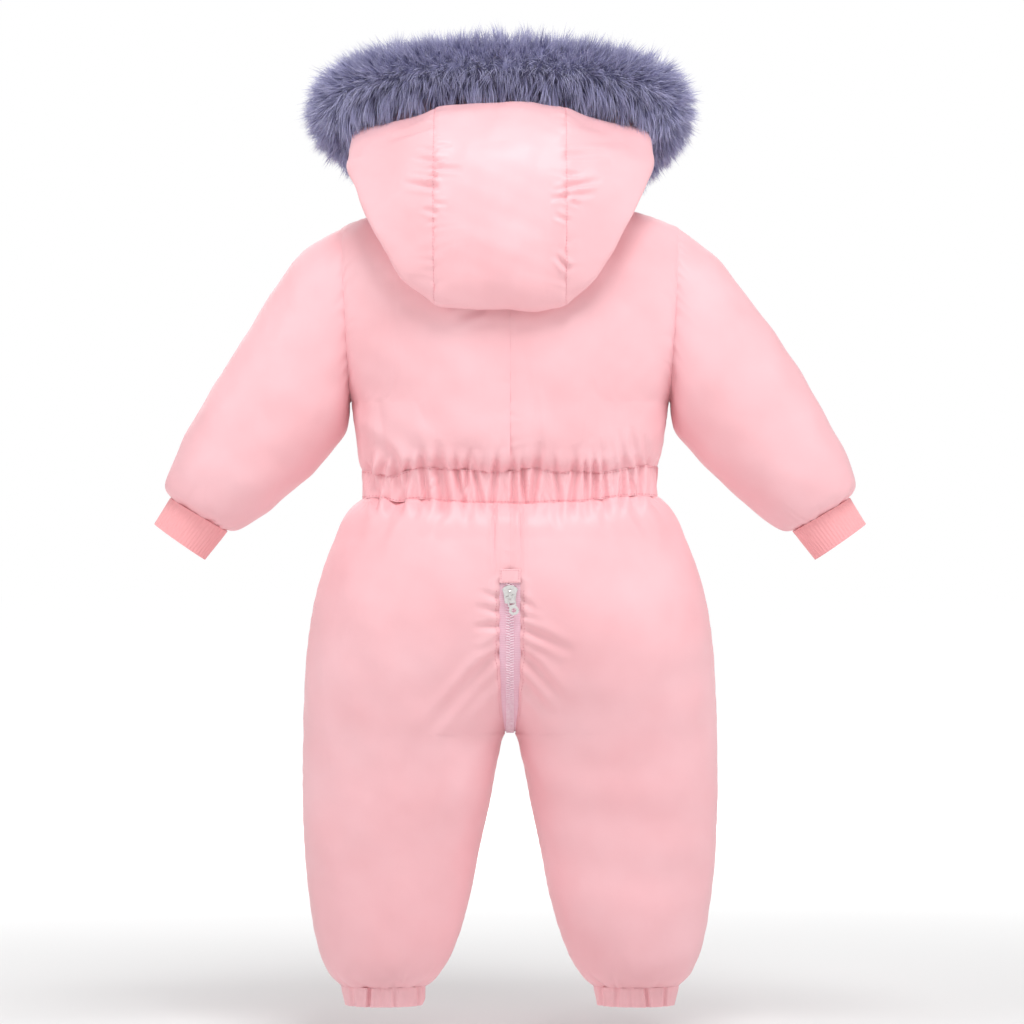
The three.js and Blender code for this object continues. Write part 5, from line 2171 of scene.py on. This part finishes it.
    def build(self, wardrobe: Wardrobe) -> list[Panel]:
        """Makes the three panels, whose rows stand closer together on the crown than at the nape.

        Args:
            wardrobe: The finishes.

        Returns:
            The panels.
        """
        even = np.linspace(0, 1, self.rows)
        rows = mix(even, even**1.6, 0.5)
        heart = np.array(self.heart)
        centre = Panel(
            "hood_centre_cloth", self.centre_panel, np.linspace(0, 1, 97), rows, heart,
            self.reliefs((Edge.LEFT, Edge.RIGHT), 500),
            lambda u, v, n: self.end_lean((u == 0) | (u == 1), v, n),
            CUT.hood_padding,
        )
        made = [centre]
        for side, sign, seed in (("left", 1.0, 520), ("right", -1.0, 540)):
            made.append(Panel(
                f"hood_side_{side}_cloth",
                lambda u, v, sign=sign: self.side_panel(sign, u, v),
                np.linspace(0, 1, 121), rows, heart,
                self.reliefs((Edge.LEFT,), seed),
                lambda u, v, n, sign=sign: self.side_lean(sign, u, v, n),
                CUT.hood_padding,
            ))
        for panel in made:
            piece = dress(panel.build(wardrobe.cloth), Slot.SHELL, panel.name.removesuffix("_cloth"))
        self.panels = made
        return made


@dataclass
class FurTrim:
    """Faux fur round the hood's edge: ribbons of hair in clumps, rooted on a dark core."""

    hood: Hood
    strands: int = 136000
    clumps_along: int = 190
    clumps_round: int = 24
    root: float = 0.5
    width: float = 0.62
    seed: int = 7
    dark: Colour = (0.12, 0.115, 0.24)
    middle: Colour = (0.35, 0.345, 0.56)
    light: Colour = (0.68, 0.67, 0.84)

    def __post_init__(self) -> None:
        """Works out the middle line: the hood's edge moved out by each row's radius along its own way."""
        rows = {name: FUR_ROWS.column(name) for name in FUR_ROWS.names}
        zero = np.zeros_like(rows["at"])
        way = unit(xyz(rows["x"], rows["y"], rows["z"]))
        halves, edges = [], []
        for sign in (1.0, -1.0):
            edge = self.hood.leaned(self.hood.side(rows["at"], zero), sign, rows["at"], zero)
            edges.append(edge)
            push = way * np.array([sign, 1, 1]) * (rows["radius"] + CUT.seam_gap + 0.5)[:, None]
            halves.append(edge + push)
        top = self.hood.leaned(self.hood.top(np.zeros(1)), 1.0, np.zeros(1), np.zeros(1))
        crown = top + unit(np.array([0, -0.47, 0.88])) * 39.5
        self.path = np.concatenate([halves[0], crown, halves[1][::-1]])
        self.edge = np.concatenate([edges[0], top, edges[1][::-1]])
        self.radii = np.concatenate([rows["radius"], [39.0], rows["radius"][::-1]])

    def frame(self, t: Array) -> tuple[Array, Array, Array, Array, Array]:
        """Middle, radius and three axes of the roll at a share of its length.

        Args:
            t: Share of the roll's length.

        Returns:
            Middle, radius, and the axes along, sideways and inward.
        """
        keys = np.arange(len(self.path), dtype=float)
        place = t * keys[-1]
        middle = hermite(keys, self.path, place)
        step = 0.02
        ahead = hermite(keys, self.path, np.minimum(place + step, keys[-1]))
        along = unit(ahead - hermite(keys, self.path, np.maximum(place - step, 0)))
        sideways = unit(np.array([0.0, 1.0, 0.0]) - along * along[..., 1:2])
        ends = np.minimum(t, 1 - t) * len(self.path) * 2
        radius = np.interp(place, keys, self.radii) * mix(0.55, 1.0, np.sqrt(np.clip(ends, 0, 1)))
        return middle, radius, along, sideways, np.cross(along, sideways)

    def grow(
        self, t: Array, turn: Array, reach: Array, wild: Array, droop: Array
    ) -> tuple[Array, Array, Array, Array]:
        """Root, length, first and last direction of hairs.

        A hair starts straight out of the roll, fanned towards the roll's ends, and bends by its wildness
        and, behind, over the hood's edge, where it is longer.

        Args:
            t: Share of the roll's length.
            turn: Angle round the roll.
            reach: Length as a share of the radius.
            wild: Random bend.
            droop: How much it hangs.

        Returns:
            Root, length, first and last direction.
        """
        middle, radius, along, sideways, inward = self.frame(t)
        out = sideways * np.cos(turn)[:, None] + inward * np.sin(turn)[:, None]
        fan = (0.9 * (2 * t - 1))[:, None]
        over = np.maximum(np.cos(turn), 0) * np.clip(np.sin(turn) + 0.4, 0, 1)
        first = unit(out + along * fan + wild * 0.5 + sideways * over[:, None] * 0.5)
        down = np.array([0.0, 0.0, -1.0]) * droop[:, None]
        last = unit(first * 0.8 + wild * 0.8 + inward * over[:, None] * 1.5 + down)
        root = middle + out * (radius * self.root)[:, None]
        return root, radius * (reach - self.root) * 1.06 * (1 + 1.15 * over), first, last

    def build(self, wardrobe: Wardrobe) -> None:
        """Makes the core, the strip that carries it and four lengths of hair.

        A hair's points are its root plus its length times s along the first direction, bent by s squared
        towards the last one, and drawn towards its clump's own hair by a power of s.

        Args:
            wardrobe: The finishes.
        """
        rng = np.random.default_rng(self.seed)
        cells = self.clumps_along * self.clumps_round
        row = np.repeat(np.arange(self.clumps_along), self.clumps_round)
        column = np.tile(np.arange(self.clumps_round), self.clumps_along)
        clump_t = (row + rng.uniform(0.1, 0.9, cells)) / self.clumps_along
        clump_turn = 2 * np.pi * (column + rng.uniform(0.1, 0.9, cells)) / self.clumps_round
        clump_wild = rng.normal(0, 0.2, (cells, 3))
        clump_reach = np.clip(rng.normal(1.0, 0.09, cells), 0.8, 1.16)
        clump_droop = rng.uniform(0.0, 0.3, cells)
        clump_light = rng.normal(0, 0.1, cells)
        c_root, c_length, c_first, c_last = self.grow(
            clump_t, clump_turn, clump_reach, clump_wild, clump_droop
        )
        t, turn = rng.uniform(0, 1, self.strands), rng.uniform(0, 2 * np.pi, self.strands)
        sector = (turn / (2 * np.pi) * self.clumps_round).astype(int)
        cell = (t * self.clumps_along).astype(int) * self.clumps_round + sector
        wild = clump_wild[cell] + rng.normal(0, 0.21, (self.strands, 3))
        reach = clump_reach[cell] * np.clip(rng.normal(0.94, 0.12, self.strands), 0.6, 1.12)
        root, length, first, last = self.grow(t, turn, reach, wild, clump_droop[cell])
        draw = rng.uniform(0.0, 0.48, self.strands)
        s = np.array([0.0, 0.36, 0.7, 1.0])[None, :, None]
        own = root[:, None] + length[:, None, None] * (
            first[:, None] * s + (last - first)[:, None] * s**2 / 2
        )
        shared = c_root[cell][:, None] + c_length[cell][:, None, None] * (
            c_first[cell][:, None] * s + (c_last - c_first)[cell][:, None] * s**2 / 2
        )
        line = mix(own, shared, draw[:, None, None] * s**1.4)
        wide = unit(np.cross(line[:, -1] - line[:, 0], rng.normal(size=(self.strands, 3))))
        wide = wide * (self.width / 2 * rng.uniform(0.6, 1.25, self.strands))[:, None]
        taper = np.array([1.0, 0.9, 0.55])[None, :, None]
        left, right = line[:, :3] + wide[:, None] * taper, line[:, :3] - wide[:, None] * taper
        points = np.concatenate([left, right, line[:, 3:]], axis=1)
        # Painted shade: hairs near the middle of the trim that hang back and down over the hood are darkened.
        # shine is each hair's random tone less this shade.
        shade = 0.34 * np.maximum(np.cos(turn - 0.55), 0) ** 5 * np.exp(-(((t - 0.5) / 0.24) ** 2))
        shine = np.clip(clump_light[cell] + rng.normal(0, 0.1, self.strands) - shade, -0.6, 0.45)
        for k, side in enumerate(("left", "crown_left", "crown_right", "right")):
            chosen = (t >= k / 4) & (t < (k + 1) / 4)
            self.hair_piece(f"fur_hair_{side}", points[chosen], shine[chosen], wardrobe)
        self.core_piece(wardrobe)
        self.carrier_piece(wardrobe)

    def hair_piece(self, name: str, points: Array, shine: Array, wardrobe: Wardrobe) -> None:
        """One mesh of ribbons: two quads and a pointed tip for each hair, tinted from root to tip.

        Args:
            name: Name of the new piece.
            points: Seven points of each hair.
            shine: Lightness of each hair: its random tone, less the painted shade on hairs that hang back
                over the hood near the middle of the trim.
            wardrobe: The finishes.
        """
        count = len(points)
        base = np.arange(count)[:, None] * 7
        quads = np.concatenate([base + np.array([0, 3, 4, 1]), base + np.array([1, 4, 5, 2])])
        tips = base + np.array([2, 5, 6])
        height = np.array([0.0, 0.36, 0.7, 0.0, 0.36, 0.7, 1.0])
        lit = np.array([0.2, 0.8, 1, 0.2, 0.8, 1, 1])
        level = height[None, :] + shine[:, None] * lit
        stops = np.array([0.0, 0.45, 1.25])
        colours = np.array([self.dark, self.middle, self.light])
        parts = [np.interp(level, stops, colours[:, k]) for k in range(3)]
        tint = np.stack([*parts, np.ones_like(level)], axis=-1).reshape(-1, 4)
        made = put_mesh(name, points.reshape(-1, 3), [quads, tips], [wardrobe.fur], tint=tint, sharp=180)
        dress(made, Slot.FUR, "fur_trim")

    def core_piece(self, wardrobe: Wardrobe) -> None:
        """The backing: a thin closed roll along the middle line, hidden by the hair.

        Args:
            wardrobe: The finishes.
        """
        t = np.linspace(0, 1, 81)
        middle, radius, _, sideways, inward = self.frame(t)
        turn = np.linspace(0, 2 * np.pi, 21)[:-1]
        rings = middle[:, None] + (radius * self.root * 1.25)[:, None, None] * (
            sideways[:, None] * np.cos(turn)[None, :, None] + inward[:, None] * np.sin(turn)[None, :, None]
        )
        points, faces = closed_tube(rings)
        shade = mix(np.array(self.dark), np.array(self.middle), 0.4)
        tint = np.tile(np.array([*shade, 1.0]), (len(points), 1))
        dress(put_mesh("fur_backing", points, faces, [wardrobe.fur], tint=tint), Slot.FUR)

    def carrier_piece(self, wardrobe: Wardrobe) -> None:
        """Strip of the suit's cloth from the hood's edge up into the hair, straight between both.

        Args:
            wardrobe: The finishes.
        """
        keys = np.arange(len(self.path), dtype=float)

        def at(u: Array, v: Array) -> Array:
            """Surface: u runs along the hood's edge, v from it to the middle of the fur.

            Args:
                u: Share of the way across the piece.
                v: Share of the way along it.

            Returns:
                Points of the surface.
            """
            edge = hermite(keys, self.edge, u * keys[-1])
            inside = edge - 2.4 * unit(edge - np.array(self.hood.heart))
            return mix(inside, hermite(keys, self.path, u * keys[-1]), mix(-0.07, 0.72, v[..., None]))

        strip = Panel(
            "fur_carrier_cloth", at, np.linspace(0, 1, 161), np.linspace(0, 1, 17),
            np.array([0.0, -60.0, 60.0]), [Gathers(Edge.LOW, 17, 1.0, 30, 560)], thickness=1.4,
        )
        piece = dress(strip.build(wardrobe.cloth), Slot.SHELL)


def closed_tube(rings: Array) -> tuple[Array, list[Array]]:
    """Tube through rings of points, with one many-sided face at each end.

    Args:
        rings: Rows of points, each row a closed outline.

    Returns:
        Points, and faces that point out.
    """
    tall, wide = rings.shape[:2]
    index = np.arange(tall * wide).reshape(tall, wide)
    wrapped = np.concatenate([index, index[:, :1]], axis=1)
    faces = [Panel.quads(wrapped), index[:1, ::-1], index[-1:]]
    points = rings.reshape(-1, 3)
    return points, oriented(points, faces)


@dataclass
class Zip:
    """A zip: woven tape, two rows of nylon teeth, and a metal slider with its pull tab."""

    name: str
    line: Array
    flat: tuple[float, float]
    area: float
    body: str
    rests_on: str
    sink: float = 1.1
    tuck: float = 0.4
    coil_half: float = 3.7
    pitch: float = 2.5

    def frame(self, at: Array) -> tuple[Array, Array, Array, Array]:
        """Middle, half width, forward and outward directions of the tape at places along its line.

        Args:
            at: Places along the line, in rows.

        Returns:
            Middle, half width, forward and outward directions.
        """
        keys = np.arange(len(self.line), dtype=float)
        here, before, after = (
            [np.interp(place, keys, self.line[:, k]) for k in range(3)]
            for place in (at, np.maximum(at - 0.5, 0), np.minimum(at + 0.5, keys[-1]))
        )
        along = unit(xyz(0.0, after[0] - before[0], after[1] - before[1]))
        out = xyz(0.0, -along[..., 2], along[..., 1])
        return xyz(0.0, here[0], here[1]) - out * self.sink, here[2] + self.tuck, along, out

    def build(self, wardrobe: Wardrobe, frame: dict) -> None:
        """Makes tape, teeth and metal.

        Args:
            wardrobe: The finishes.
            frame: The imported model.
        """
        places = np.linspace(0, len(self.line) - 1, 6 * len(self.line))
        origin, half, along, out = self.frame(places)
        profile = Table(
            "x h",
            (-1, 0), (-0.9, 0.25), (-0.5, 0.15), (0, 0.1), (0.5, 0.15), (0.9, 0.25), (1, 0),
            (1, -1.6), (0, -1.6), (-1, -1.6),
        )
        rings = (
            origin[:, None]
            + np.array([1.0, 0, 0]) * (half[:, None] * profile.column("x"))[..., None]
            + out[:, None] * profile.column("h")[None, :, None]
        )
        points, faces = closed_tube(rings)
        arc = Grid.arc(origin, 0)
        across = np.broadcast_to(half[:, None] * profile.column("x"), rings.shape[:2])
        down = np.broadcast_to(arc[:, None], rings.shape[:2])
        flat = np.stack([across, down], axis=-1).reshape(-1, 2) * MM
        uv = np.concatenate([flat[group].reshape(-1, 2) for group in faces])
        strip = put_mesh(f"{self.name}_tape", points, faces, [wardrobe.tape], uv=uv, sharp=60)
        tape = dress(strip, Slot.TAPE, self.name)
        teeth = self.teeth(wardrobe, arc, places)
        for node, body in ((f"{self.name}_slider", "suit"), (f"{self.name}_pull", self.body)):
            polished(frame, node, body, wardrobe.metal)

    def teeth(self, wardrobe: Wardrobe, arc: Array, places: Array) -> bpy.types.Object:
        """Two rows of teeth that meet in the middle, half a pitch apart.

        Args:
            wardrobe: The finishes.
            arc: Length of tape up to each place.
            places: Places along the line, in rows.

        Returns:
            The piece.
        """
        stops = np.arange(self.pitch, arc[-1] - self.pitch, self.pitch / 2)
        origin, half, along, out = self.frame(np.interp(stops, arc, places))
        side = np.where(np.arange(len(stops)) % 2 == 0, 1.0, -1.0)[:, None]
        width = np.minimum(self.coil_half, half * 0.6)[:, None] * 0.56
        sideways = np.array([1.0, 0, 0]) * side
        origin = origin + sideways * width * 0.86 + out * 0.1
        slant = along * 0.45
        axes = np.stack([-sideways * width + slant, along * 0.8 * np.ones_like(side), out * 1.5], axis=1)
        points, faces = copies(TOOTH_POINTS, TOOTH_FACES, origin, axes)
        right_way = np.cross(axes[:, 0], axes[:, 1])
        flip = np.repeat(np.einsum("ij,ij->i", right_way, axes[:, 2]) < 0, len(TOOTH_FACES))
        faces[flip] = faces[flip][:, ::-1]
        return dress(put_mesh(f"{self.name}_teeth", points, [faces], [wardrobe.teeth], sharp=30), Slot.TAPE)


def polished(frame: dict, node: str, body: str, finish: bpy.types.Material) -> bpy.types.Object:
    """A cast metal piece: its solid with the doubles merged and the edges rounded.

    Args:
        frame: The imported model.
        node: Name of the solid.
        body: The body that it rides on.
        finish: The material.

    Returns:
        The piece.
    """
    mesh = frame["nodes"][node].data.copy()
    mesh.name = f"{node}_cast"
    soup = bmesh.new()
    soup.from_mesh(mesh)
    bmesh.ops.remove_doubles(soup, verts=soup.verts, dist=1e-6)
    bmesh.ops.dissolve_limit(soup, angle_limit=math.radians(1), verts=soup.verts, edges=soup.edges)
    soup.to_mesh(mesh)
    soup.free()
    mesh.materials.clear()
    mesh.materials.append(finish)
    mesh.shade_smooth()
    mesh.set_sharp_from_angle(angle=math.radians(40))
    made = bpy.data.objects.new(f"{node}_cast", mesh)
    bpy.context.scene.collection.objects.link(made)
    bevel = made.modifiers.new("round_edges", "BEVEL")
    bevel.width = 0.28 * MM
    bevel.segments = 2
    bevel.limit_method = "ANGLE"
    bevel.angle_limit = math.radians(35)
    return dress(made, Slot.METAL, node, body=body)


def gap_edge(face: Face, z: Array) -> Array:
    """Depth of the trousers' cloth at the edge of the middle gap.

    Args:
        face: Back or front.
        z: Heights.

    Returns:
        Depths.
    """
    outer, inner = TROUSER_SECTIONS.read("outer", z), TROUSER_SECTIONS.read("inner", z)
    gap = SEAT_GAP if face is Face.BACK else FRONT_GAP
    share = (np.maximum(gap.step("half", z), inner) - (outer + inner) / 2) / ((outer - inner) / 2)
    return TROUSER_SECTIONS.read(face.name.lower(), z) * np.sqrt(np.maximum(1 - share**2, 0))


def seat_zip_line() -> Array:
    """Rows of y, z and half width of the crotch zip, down the seat and a little way up the front.

    Returns:
        The rows.
    """
    down = np.array([-319, -330, -345, -360, -375, -390, -405, -418, -430, -440, -448, -455, -460, -464.0])
    up = np.array([-464.5, -461.0, -454.0, -447.0, -438.0])
    half = SEAT_GAP.step("half", down) + np.interp(-down, (436, 462), (0, 3.0))
    back = np.stack([gap_edge(Face.BACK, down), down, half], axis=-1)
    under = np.array([(8, -466.4, 7.4), (-8, -466.4, 7.0)])
    front = np.stack([-gap_edge(Face.FRONT, up), up, FRONT_GAP.step("half", up) + 2.2], axis=-1)
    return np.concatenate([back, under, front])


def front_zip_line(bodice: Bodice) -> Array:
    """Rows of y, z and half width of the front zip, from the belly to the neck.

    Args:
        bodice: The body whose front the zip closes.

    Returns:
        The rows.
    """
    half = float(FRONT_GAP.column("half")[0]) - CUT.seam_gap
    z = np.linspace(-392, CUT.waist_bottom, 10)
    body = np.stack([-gap_edge(Face.FRONT, z), z, np.full(10, half)], axis=-1)
    band = np.array([(-60, -246, half), (-60, -232, half)])
    v = np.linspace(0, 0.97, 10)
    chest = bodice.at(Face.FRONT, np.zeros(10), v)
    return np.concatenate([body, band, np.stack([chest[:, 1], chest[:, 2], np.full(10, half)], axis=-1)])


@dataclass
class EndPatch:
    """Patch sewn over the top end of the seat zip."""

    half: float = 9.6
    top: float = -315.2
    bottom: float = -328.0
    thickness: float = 0.9
    lift: float = 0.15

    def build(self, wardrobe: Wardrobe) -> None:
        """Makes the patch, a thin crowned plate on the cloth, and its stitches.

        Args:
            wardrobe: The finishes.
        """
        z = np.linspace(self.top, self.bottom, 25)
        outer, inner = TROUSER_SECTIONS.read("outer", z), TROUSER_SECTIONS.read("inner", z)
        share = (self.half - (outer + inner) / 2) / ((outer - inner) / 2)
        y = TROUSER_SECTIONS.read("back", z) * np.sqrt(1 - share**2) + 2 * CUT.seam_gap
        x = np.linspace(-1, 1, 25)
        edge = 1 - np.maximum(np.abs(x)[None, :], np.abs(np.linspace(-1, 1, 25))[:, None]) ** 12
        ripple = 0.12 * np.sin(x[None, :] * 9 + z[:, None] * 0.5)
        height = self.thickness * (0.45 + 0.55 * edge) + self.lift + ripple * edge
        upper = xyz(x[None, :] * self.half, y[:, None] + height, z[:, None])
        lower = xyz(x[None, ::-1] * self.half, y[:, None] + self.lift * 0.3, z[:, None])
        points, faces = closed_tube(np.concatenate([upper, lower], axis=1))
        flat = points[:, [0, 2]] * MM
        uv = np.concatenate([flat[group].reshape(-1, 2) for group in faces])
        cloth = put_mesh("seat_zip_end_patch_cloth", points, faces, [wardrobe.shell], uv=uv, sharp=40)
        patch = dress(cloth, Slot.SHELL, "seat_zip_end_patch")
        normals = np.tile(np.array([0.0, 1.0, 0.0]), (25, 1))
        lines = [(upper[2], normals), (upper[22], normals), (upper[:, 2], normals), (upper[:, 22], normals)]
        seam = Sewing(2.2, 1.6, 0.5, 0.35).sew("end_patch_stitches", lines, wardrobe.thread)


@dataclass(frozen=True)
class Studio:
    """Plain pale floor, soft light and a camera where the photographer stood.

    Away from the suit the floor glows more and more, until it is as bright as the sky behind it.
    """

    floor_z: float = -0.75
    floor_size: float = 40.0
    camera: tuple[float, float, float] = (-0.0018, 4.0, -0.264)
    view_width: float = 0.942
    sensor: float = 36.0
    sky: float = 0.35
    floor_tone: float = 0.8
    floor_near: float = 0.9
    floor_far: float = 3.2

    def area(self, name: str, place: tuple[float, float, float], size: float, power: float) -> None:
        """One square area light that looks at the middle of the suit.

        Args:
            name: Name of the light.
            place: Where it stands.
            size: Length of its side.
            power: Watts.
        """
        data = bpy.data.lights.new(name, "AREA")
        data.shape, data.size, data.energy = "SQUARE", size, power
        lamp = bpy.data.objects.new(name, data)
        lamp.location = place
        way = Vector((0.0, 0.0, -0.25)) - Vector(place)
        lamp.rotation_euler = way.to_track_quat("-Z", "Y").to_euler()
        bpy.context.scene.collection.objects.link(lamp)

    def build(self) -> None:
        """Makes floor, lights, surroundings and camera."""
        half = self.floor_size / 2
        corners = np.array([(-half, -half), (half, -half), (half, half), (-half, half)]) * 1000
        floor_tree = Tree("pale_floor")
        away = floor_tree.node("ShaderNodeVectorMath", {0: floor_tree.object_point()}, operation="LENGTH")
        glow = floor_tree.node("ShaderNodeMapRange", {
            "Value": away.outputs["Value"],
            "From Min": self.floor_near,
            "From Max": self.floor_far,
            "To Max": 1.0 - self.floor_tone * self.sky,
        }, interpolation_type="SMOOTHSTEP")
        floor_tree.set(
            base_color=(self.floor_tone, self.floor_tone, self.floor_tone, 1.0),
            roughness=0.9,
            specular_ior_level=0.0,
            emission_color=(1.0, 1.0, 1.0, 1.0),
            emission_strength=glow.outputs[0],
        )
        points = np.concatenate([corners, np.full((4, 1), self.floor_z * 1000)], axis=1)
        put_mesh("floor", points, [np.array([[0, 1, 2, 3]])], [floor_tree.material])
        self.area("top_light", (-0.3, 1.6, 2.4), 1.2, 60)
        self.area("left_light", (2.4, 1.6, 0.9), 1.2, 21)
        self.area("right_light", (-2.4, 1.2, 0.4), 1.2, 15)
        self.area("far_light", (0.4, -2.4, 1.6), 3.0, 52)
        world = bpy.data.worlds.new("studio")
        world.use_nodes = True
        nodes, links = world.node_tree.nodes, world.node_tree.links
        shade = nodes["Background"]
        shade.inputs["Color"].default_value = (1.0, 1.0, 1.0, 1.0)
        ray = nodes.new("ShaderNodeLightPath")
        level = nodes.new("ShaderNodeMix")
        level.inputs[2].default_value = self.sky
        level.inputs[3].default_value = 1.0
        links.new(ray.outputs["Is Camera Ray"], level.inputs[0])
        links.new(level.outputs[0], shade.inputs["Strength"])
        scene = bpy.context.scene
        scene.world = world
        scene.view_settings.view_transform = "Standard"
        lens = bpy.data.cameras.new("camera")
        lens.sensor_width = self.sensor
        lens.lens = self.sensor * self.camera[1] / self.view_width
        eye = bpy.data.objects.new("camera", lens)
        eye.location = self.camera
        eye.rotation_euler = (math.pi / 2, 0.0, math.pi)
        scene.collection.objects.link(eye)
        scene.camera = eye


def topstitch(panels: dict[str, Panel], bands: Sequence[Panel], hood: Hood, wardrobe: Wardrobe) -> None:
    """Machine stitches along the waist casing, beside the zips and on the hood's seams.

    Args:
        panels: Panels by name.
        bands: Casings of the waistband.
        hood: The hood.
        wardrobe: The finishes.
    """
    sewing = Sewing()
    casing = [band.line(edge, 1.6) for band in bands for edge in (Edge.LOW, Edge.HIGH)]
    sewing.sew("waistband_stitches", casing, wardrobe.thread)
    seat = [panels[f"trouser_back_{side}"].line(Edge.RIGHT, 3.4) for side in ("left", "right")]
    shown = [(line[:, 2] < -330) & (line[:, 2] > -455) for line, _ in seat]
    rows = [(line[kept], n[kept]) for kept, (line, n) in zip(shown, seat)]
    sewing.sew("seat_zip_stitches", rows, wardrobe.thread)
    front = [panels[f"bodice_front_{side}"].line(Edge.LEFT, 3.4) for side in ("left", "right")]
    sewing.sew("front_zip_stitches", front, wardrobe.thread)
    seams = [panel.line(Edge.LEFT, 1.0) for panel in hood.panels[1:]]
    sewing.sew("hood_seam_stitches", seams, wardrobe.thread)


def main() -> None:
    """Builds the suit piece by piece."""
    logging.basicConfig(level=logging.INFO, format="%(name)s %(message)s")
    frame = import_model()
    Studio().build()
    wardrobe = Wardrobe()
    bodice = Bodice()
    panels = bodice.build(wardrobe)
    bands = Waistband().build(wardrobe)
    panels.update(Trousers().build(wardrobe))
    Arms().build(wardrobe)
    AnkleBands().build(wardrobe)
    hood = Hood()
    hood.build(wardrobe)
    FurTrim(hood).build(wardrobe)
    seat = Zip("seat_zip", seat_zip_line(), (0.0174, 0.172), 0.0028, "seat_pull", "trouser_back_left_cloth")
    seat.build(wardrobe, frame)
    chest = front_zip_line(bodice)
    front = Zip("front_zip", chest, (0.015, 0.345), 0.005, "front_pull", "trouser_front_left_cloth")
    front.build(wardrobe, frame)
    EndPatch().build(wardrobe)
    topstitch(panels, bands, hood, wardrobe)


if __name__ == "__main__":
    main()
